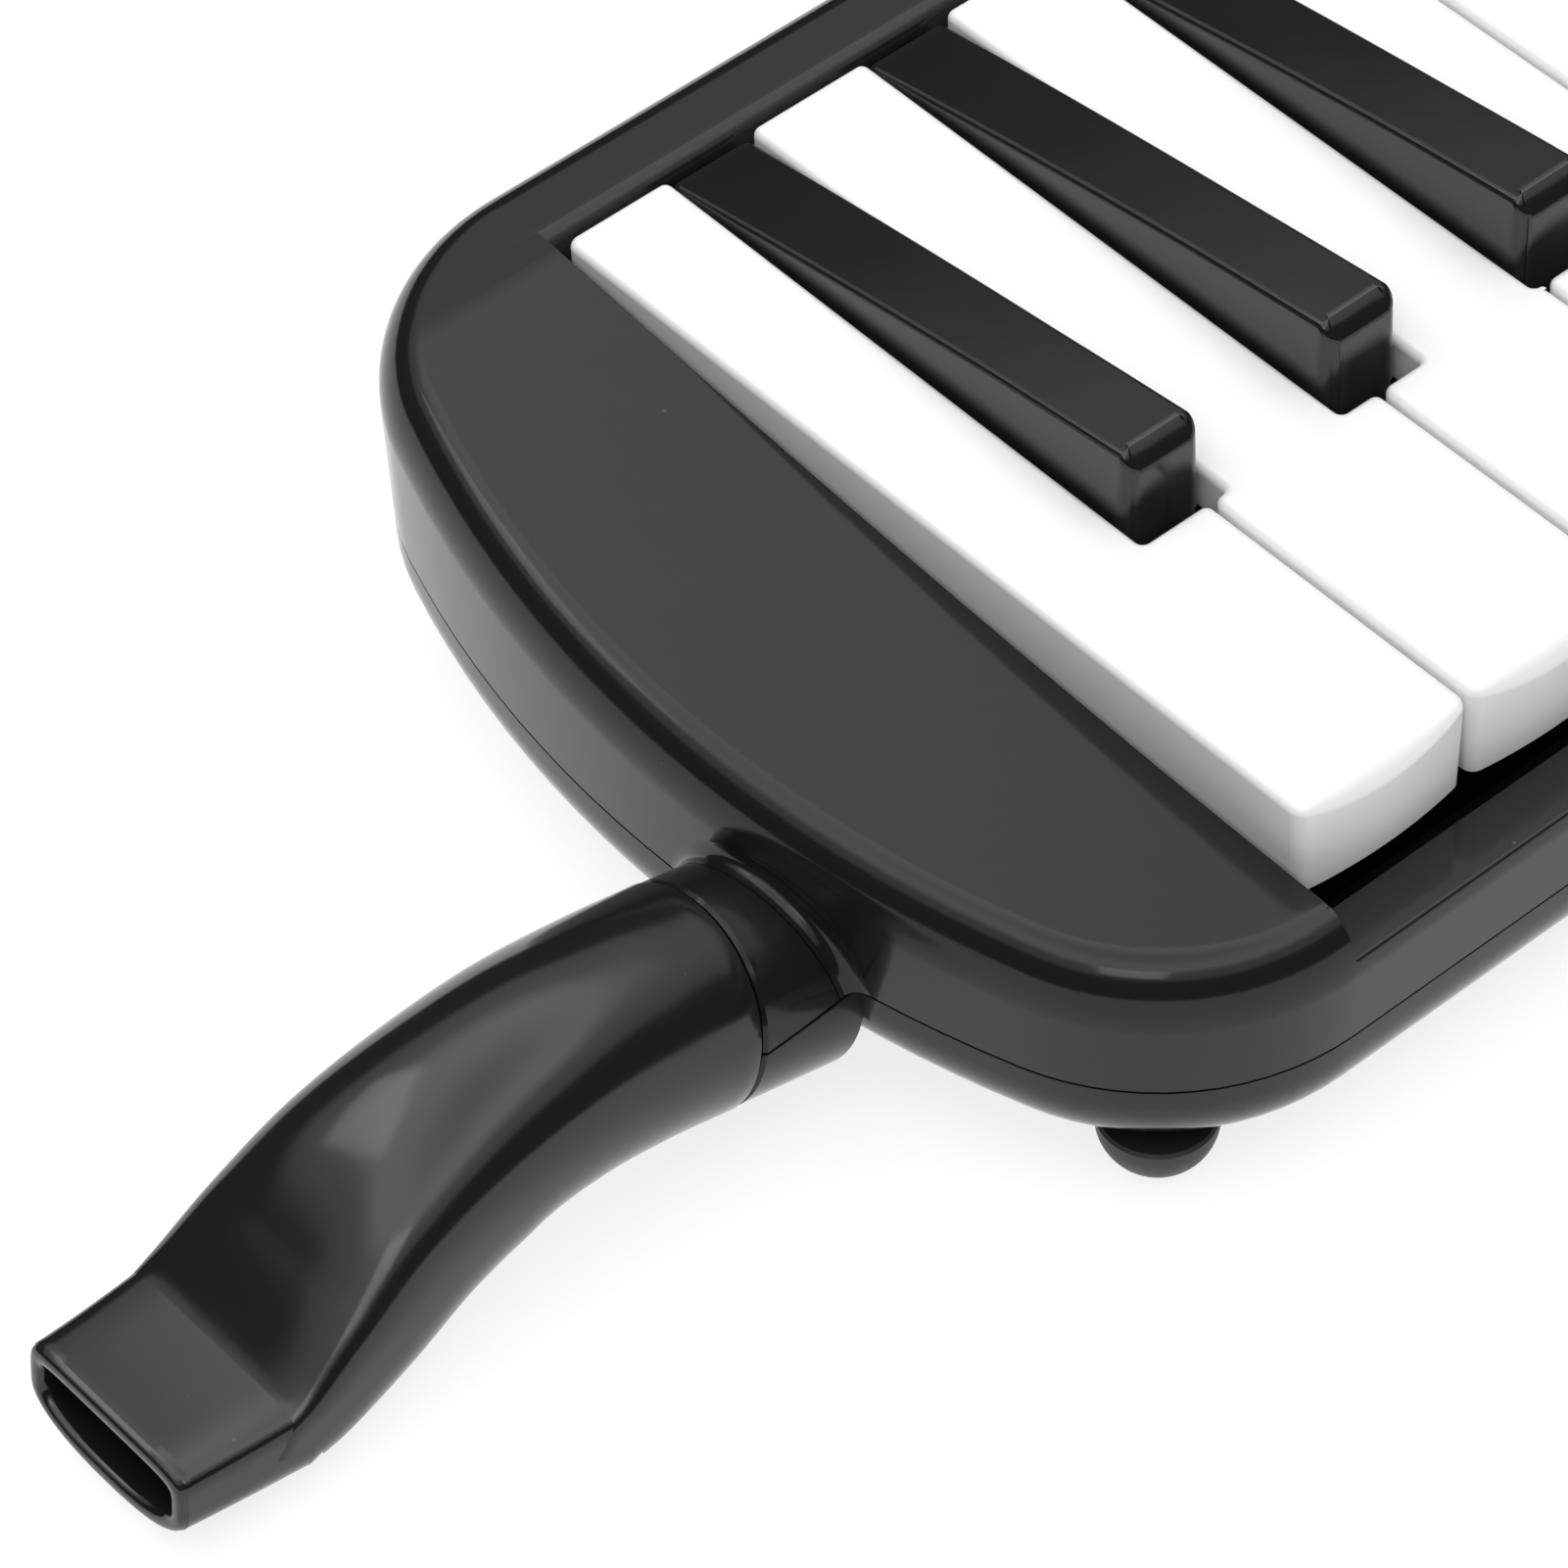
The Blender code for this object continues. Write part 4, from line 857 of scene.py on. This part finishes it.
def tail_middle(index):
    before, after = black_centre(index - 1), black_centre(index)
    left = before + BLACK_SLOT / 2 if before is not None else KEYS_LEFT + index * PITCH
    right = after - BLACK_SLOT / 2 if after is not None else KEYS_LEFT + (index + 1) * PITCH
    return (left + right) / 2


def black_top(y):
    """Height of a black key's top: level with the white keys at the rear, high at the front."""
    forward = (KEYS_REAR - y) / (BLACK_LENGTH - 1.6)
    return KEY_TOP - 1.0 + (BLACK_RISE + 1.0) * (1.22 * forward - 0.22 * forward ** 2)


def black_half_outline():
    """Right half of a black key's plan, rear to front: (x, y, outward, share of the front)."""
    half = BLACK_WIDTH / 2
    front = KEYS_REAR - BLACK_LENGTH + 0.1
    rear = 0.9
    points = []
    for step in range(5):
        angle = math.pi / 2 * (1.0 - step / 4)
        outward = Vector((math.cos(angle), math.sin(angle)))
        points.append((Vector((half - rear, KEYS_REAR - rear)) + rear * outward, outward, 0.0))
    for step in range(1, 14):
        y = KEYS_REAR - rear - (BLACK_LENGTH - rear - BLACK_NOSE) * step / 14
        points.append((Vector((half, y)), Vector((1.0, 0.0)), 0.0))
    for step in range(9):
        angle = math.pi / 2 * step / 8
        outward = Vector((math.cos(angle), -math.sin(angle)))
        centre = Vector((half - BLACK_NOSE, front + BLACK_NOSE))
        points.append((centre + BLACK_NOSE * outward, outward, step / 8))
    points.append((Vector((half * 0.3, front)), Vector((0.0, -1.0)), 1.0))
    return points


def black_ring(middle, outline, place):
    """One ring round a black key: place gives the inset and the height at each point."""
    right = []
    for spot, outward, nose in outline:
        inset, height = place(spot.y, nose)
        moved = spot - outward * inset
        right.append((moved.x, moved.y, height))
    ring = [(middle + x, y, z) for x, y, z in right]
    return ring + [(middle - x, y, z) for x, y, z in reversed(right)]


def build_black_key(index):
    """A tapered key: leaning sides with a small round, and a sloping facet at the front."""
    middle = black_centre(index)
    outline = black_half_outline()
    bottom = KEY_TOP - 6.0

    def shoulder(y, nose, angle):
        lean = 0.5 * (1.0 - nose) * min(1.0, max(0.0, (black_top(y) - KEY_TOP + 1.0) / 6.0))
        power = 1.0 + 0.48 * nose
        inset = lean + (0.55 + 1.45 * nose) * (1.0 - math.cos(angle) ** power)
        rise = (0.6 + 1.5 * nose) * (1.0 - math.sin(angle) ** power)
        return inset, black_top(y) - rise

    rings = [black_ring(middle, outline, lambda y, nose: (0.35, bottom)),
             black_ring(middle, outline, lambda y, nose: (0.0, bottom + 0.35)),
             black_ring(middle, outline, lambda y, nose: (0.0, KEY_TOP - 3.4))]
    for step in range(ROUND_FACETS + 1):
        angle = math.pi / 2 * step / ROUND_FACETS
        rings.append(black_ring(middle, outline, lambda y, nose: shoulder(y, nose, angle)))
    count = len(rings[0])
    faces = band_faces(count, len(rings))
    faces += strips(0, count) + strips((len(rings) - 1) * count, count)
    name = key_name(index, True)
    key = mesh_object(name + "_cap", [point for ring in rings for point in ring], faces)
    half = BLACK_WIDTH / 2 - 1.7
    cut(key, box("hollow", (middle - half, KEYS_REAR - BLACK_LENGTH + 2.6, bottom - 1.0),
                 (middle + half, KEYS_REAR - 1.6, KEY_TOP - 3.0)))
    merge(key, key_hook(middle, KEY_TOP - 2.2), key_arm(middle, KEY_TOP - 2.2))
    build_pad(middle, name)
    return piece(key, name, "key_black", KEY_BLACK, name)


# ---------------------------------------------------------------- mouthpiece

# Route of the middle line from the seam to the beak: along, height, half width,
# height above and below the line, and how square the upper side is.
MOUTHPIECE = (
    (36.6, -20.5, 9.9, 9.9, 9.9, 2.0),
    (44.3, -18.7, 9.9, 9.7, 9.8, 2.0),
    (52.2, -17.6, 9.9, 9.3, 9.6, 2.1),
    (60.1, -18.0, 10.0, 8.6, 9.3, 2.3),
    (68.0, -20.2, 10.3, 7.6, 8.9, 3.0),
    (74.9, -23.8, 10.7, 6.4, 8.2, 4.0),
    (80.8, -27.0, 10.8, 5.15, 7.0, 5.4),
    (83.7, -28.2, 10.7, 4.5, 6.2, 7.0),
    (84.6, -28.35, 10.6, 4.4, 5.95, 7.0),
    (90.6, -28.2, 10.2, 4.3, 5.0, 7.0),
    (96.4, -27.7, 9.85, 4.1, 4.5, 7.0),
)


# The rounded lip of the mouth: how far in from the outside, and how far past the tip.
BEAK_LIP = (
    (0.0, -0.7), (0.12, -0.3), (0.35, -0.08), (0.6, 0.0), (1.1, 0.0), (1.35, -0.12), (1.5, -0.4),
)
BEAK_WALL = 1.7
STATION_PARTS = 8
BORE_START = 24              # first of the sections that the wide part of the bore follows


def smooth_stations(stations, parts):
    """Smooth curves through the stations' values, with extra stations between them."""
    spread = [stations[0], *stations, stations[-1]]
    result = []
    for number in range(len(stations) - 1):
        before, here, after, last = spread[number:number + 4]
        for step in range(parts):
            share = step / parts
            values = []
            for a, b, c, d in zip(before, here, after, last):
                slope_in = (c - a) / 2 if number else b - a + (c - b)
                slope_out = (d - b) / 2 if number < len(stations) - 2 else c - b
                values.append(hermite(b, c, slope_in, slope_out, share))
            result.append(tuple(values))
    return result + [stations[-1]]


def hermite(start, stop, slope_in, slope_out, share):
    square, cube = share ** 2, share ** 3
    return (start * (2 * cube - 3 * square + 1) + slope_in * (cube - 2 * square + share)
            + stop * (3 * square - 2 * cube) + slope_out * (cube - square))


def beak_section(station, tangent, shrink, shift=0.0):
    """One cross-section of the mouthpiece, square to its route."""
    along, height, half_width, above, below, square = station
    centre = Vector((KEYS_LEFT - along, SEAM.y, KEY_TOP + height)) + tangent * shift
    upward = Vector((tangent.z, 0.0, -tangent.x))
    points = []
    for side in range(BEAK_SIDES):
        angle = 2 * math.pi * side / BEAK_SIDES
        power = 2.0 / (square if math.sin(angle) > 0 else min(square, 2.4))
        half = half_width - shrink
        across = math.copysign(abs(math.cos(angle)) ** power, math.cos(angle)) * half
        reach = (above if math.sin(angle) > 0 else below) - shrink
        rise = math.copysign(abs(math.sin(angle)) ** power, math.sin(angle)) * reach
        points.append(centre + Vector((0.0, across, 0.0)) + upward * rise)
    return points


def build_mouthpiece():
    route = smooth_stations(MOUTHPIECE, STATION_PARTS)
    tangents = [AXIS_OUT]
    for before, after in list(zip(route, route[2:])) + [(route[-2], route[-1])]:
        tangents.append(Vector((before[0] - after[0], 0.0, after[1] - before[1])).normalized())
    pairs = list(zip(route, tangents))
    start, first = pairs[0]
    rings = [beak_section(start, first, 0.25, 0.3), beak_section(start, first, 0.0, 0.55)]
    rings += [beak_section(station, tangent, 0.0) for station, tangent in pairs[2:-1]]
    tip, last = pairs[-1]
    rings += [beak_section(tip, last, shrink, shift) for shrink, shift in BEAK_LIP]
    rings += [beak_section(station, tangent, BEAK_WALL)
              for station, tangent in reversed(pairs[BORE_START:-1])]
    for reach, radius in ((14.5, 4.6), (13.5, 5.4), (0.3, 5.4)):
        round_end = (36.6, -20.5, radius, radius, radius, 2.0)
        rings.append(beak_section(round_end, AXIS_OUT, 0.0, reach))
    body = loft("mouthpiece_shell", rings, closed=True)
    return piece(body, "mouthpiece", "mouthpiece_black", MOUTHPIECE_BLACK, "mouthpiece", angle=50.0)


# ---------------------------------------------------------------- feet, screws and drain

def build_feet():
    """A rubber dome that stands on a small flat, with a stem through the case floor."""
    start = math.acos(FOOT_FLAT / FOOT_RADIUS)
    depth = FOOT_RADIUS * math.sin(start)
    profile = []
    for step in range(15):
        angle = start * (1.0 - step / 14)
        profile.append((depth - FOOT_RADIUS * math.sin(angle), FOOT_RADIUS * math.cos(angle)))
    top = CASE_BOTTOM - 0.3
    profile += [(top - 0.3, FOOT_RADIUS), (top, FOOT_RADIUS - 0.25),
                (top, FOOT_STEM), (CASE_BOTTOM + 3.0, FOOT_STEM)]
    names = ("front_left", "rear_left", "front_right", "rear_right")
    for (x, y), name in zip(foot_places(), names):
        foot = turned("dome_" + name, (x, y, 0.0), (0, 0, 1), profile, 48)
        piece(foot, "case", "foot_rubber", FOOT_RUBBER, "foot_" + name)


def build_screws():
    """Pan-head screws with a cross recess in the head."""
    low = CASE_BOTTOM - 0.4
    head = CASE_BOTTOM + 0.6
    profile = [(low, 0.0005), (low, 2.1), (low + 0.12, 2.6), (low + 0.45, SCREW_HEAD),
               (head, SCREW_HEAD), (head, SCREW_SHANK), (CASE_BOTTOM + SCREW_LENGTH, SCREW_SHANK)]
    for number, (x, y) in enumerate(screw_places()):
        screw = turned("screw_%d" % (number + 1), (x, y, 0.0), (0, 0, 1), profile, 36)
        slots = [box("slot", (x - a, y - b, low - 1.0), (x + a, y + b, low + 0.75))
                 for a, b in ((1.5, 0.28), (0.28, 1.5))]
        cut(screw, *slots)
        piece(screw, "case", "screw_steel", STEEL, "case_screw_%d" % (number + 1))


def build_drain():
    """The drain's sprung cap: a cup with a rounded rim and a stem up into the chest."""
    low = CASE_BOTTOM - 2.2
    floor = low + 1.0
    rim = low + 2.6
    stem_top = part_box("drain_button")[1].z / MM
    profile = [(low + 0.25, 0.001), (low + 0.2, 2.2), (low, 2.9), (low, 3.6), (low + 0.18, 4.15),
               (low + 0.6, DRAIN_CAP), (rim - 0.2, DRAIN_CAP), (rim, 4.3), (rim, 3.9),
               (rim - 0.2, 3.7), (floor, 3.7), (floor, 1.5), (stem_top - 0.3, 1.5), (stem_top, 1.2)]
    cap = turned("drain_cap", (DRAIN_X, DRAIN_Y, 0.0), (0, 0, 1), profile, 56)
    piece(cap, "drain", "drain_black", CASE_BLACK, "drain_button")


# ---------------------------------------------------------------- carried-over CAD nodes

def finish_nodes():
    """Gives the CAD nodes that stay as they are their own materials."""
    for material, names in (
            (CHEST_GREY, ("wind_chest", "chest_lid")),
            (SEAL_RUBBER, ("chest_gasket", "drain_seal", "mouthpiece_seal")),
            (BRASS, ("reed_plate_low", "reed_plate_high")),
            (STEEL, ("hinge_rod",)),
            (SPRING_STEEL, ("key_spring_comb", "drain_spring")),
            (FELT_GREEN, ("white_key_felt", "black_key_felt"))):
        for name in names:
            thing = bpy.data.objects[name]
            thing.data.materials.clear()
            thing.data.materials.append(material)


# ---------------------------------------------------------------- floor, light and camera

def build_floor():
    corners = [(x * FLOOR_REACH, y * FLOOR_REACH, 0)
               for x, y in ((-1, -1), (1, -1), (1, 1), (-1, 1))]
    floor = mesh_object("floor", corners, ((0, 1, 2, 3),))
    recipe = Recipe("pale_floor", (0.3, 0.3, 0.3), 0.9)
    recipe.shader.inputs["Emission Color"].default_value = (1.0, 1.0, 1.0, 1.0)
    recipe.shader.inputs["Emission Strength"].default_value = FLOOR_GLOW
    floor.data.materials.append(recipe.material)


def build_world():
    """A studio tent: bright overhead, dark round the sides, as elevation bands."""
    world = bpy.data.worlds.new("studio")
    bpy.context.scene.world = world
    world.use_nodes = True
    nodes, links = world.node_tree.nodes, world.node_tree.links
    place = nodes.new("ShaderNodeTexCoord")
    split = nodes.new("ShaderNodeSeparateXYZ")
    ramp = nodes.new("ShaderNodeValToRGB")
    links.new(place.outputs["Generated"], split.inputs["Vector"])
    links.new(split.outputs["Z"], ramp.inputs["Fac"])
    band = ramp.color_ramp
    band.elements[0].position = 0.0
    band.elements[0].color = (SKY[0][1],) * 3 + (1.0,)
    band.elements[1].position = 1.0
    band.elements[1].color = (SKY[-1][1],) * 3 + (1.0,)
    for height, light in SKY[1:-1]:
        band.elements.new(height).color = (light, light, light, 1.0)
    back = nodes["Background"]
    back.inputs["Strength"].default_value = 1.0
    links.new(ramp.outputs["Color"], back.inputs["Color"])


def panel_light(name, place, target, size, power):
    """A rectangular soft light aimed at a point; places are in millimetres from the datum."""
    datum = Vector((KEYS_LEFT, KEYS_REAR, KEY_TOP))
    data = bpy.data.lights.new(name, "AREA")
    data.shape = "RECTANGLE"
    data.size, data.size_y = size[0] * MM, size[1] * MM
    data.energy = power
    lamp = bpy.data.objects.new(name, data)
    bpy.context.scene.collection.objects.link(lamp)
    lamp.location = (datum + Vector(place)) * MM
    toward = (Vector(target) - Vector(place)).normalized()
    lamp.rotation_euler = toward.to_track_quat("-Z", "Y").to_euler()


def build_camera():
    azimuth, elevation, roll = (math.radians(angle) for angle in VIEW)
    ahead = Vector((math.sin(azimuth) * math.cos(elevation),
                    math.cos(azimuth) * math.cos(elevation), -math.sin(elevation)))
    level = ahead.cross(Vector((0.0, 0.0, 1.0))).normalized()
    above = level.cross(ahead)
    right = math.cos(roll) * level + math.sin(roll) * above
    up = math.cos(roll) * above - math.sin(roll) * level
    target = Vector((KEYS_LEFT, KEYS_REAR, KEY_TOP)) + Vector(TARGET)
    data = bpy.data.cameras.new("camera")
    data.lens = LENS
    data.sensor_width = 36.0
    data.clip_start = 0.01
    data.clip_end = 50.0
    camera = bpy.data.objects.new("camera", data)
    bpy.context.scene.collection.objects.link(camera)
    place = (target - ahead * DISTANCE) * MM
    camera.matrix_world = Matrix.Translation(place) @ Matrix(
        (right, up, -ahead)).transposed().to_4x4()
    bpy.context.scene.camera = camera


# ---------------------------------------------------------------- assembly

build_camera()
build_world()
build_floor()
panel_light("window", (-420.0, -420.0, 520.0), (40.0, -50.0, 0.0), (260.0, 200.0), 0.4)
panel_light("side", (-245.0, 370.0, 540.0), (-60.0, -60.0, 0.0), (260.0, 170.0), 0.26)

build_top_case()
build_bottom_case()
for number in range(WHITE_COUNT):
    build_white_key(number)
    if black_centre(number) is not None:
        build_black_key(number)
build_mouthpiece()
build_feet()
build_screws()
build_drain()
finish_nodes()

bpy.context.scene.view_settings.view_transform = "Standard"
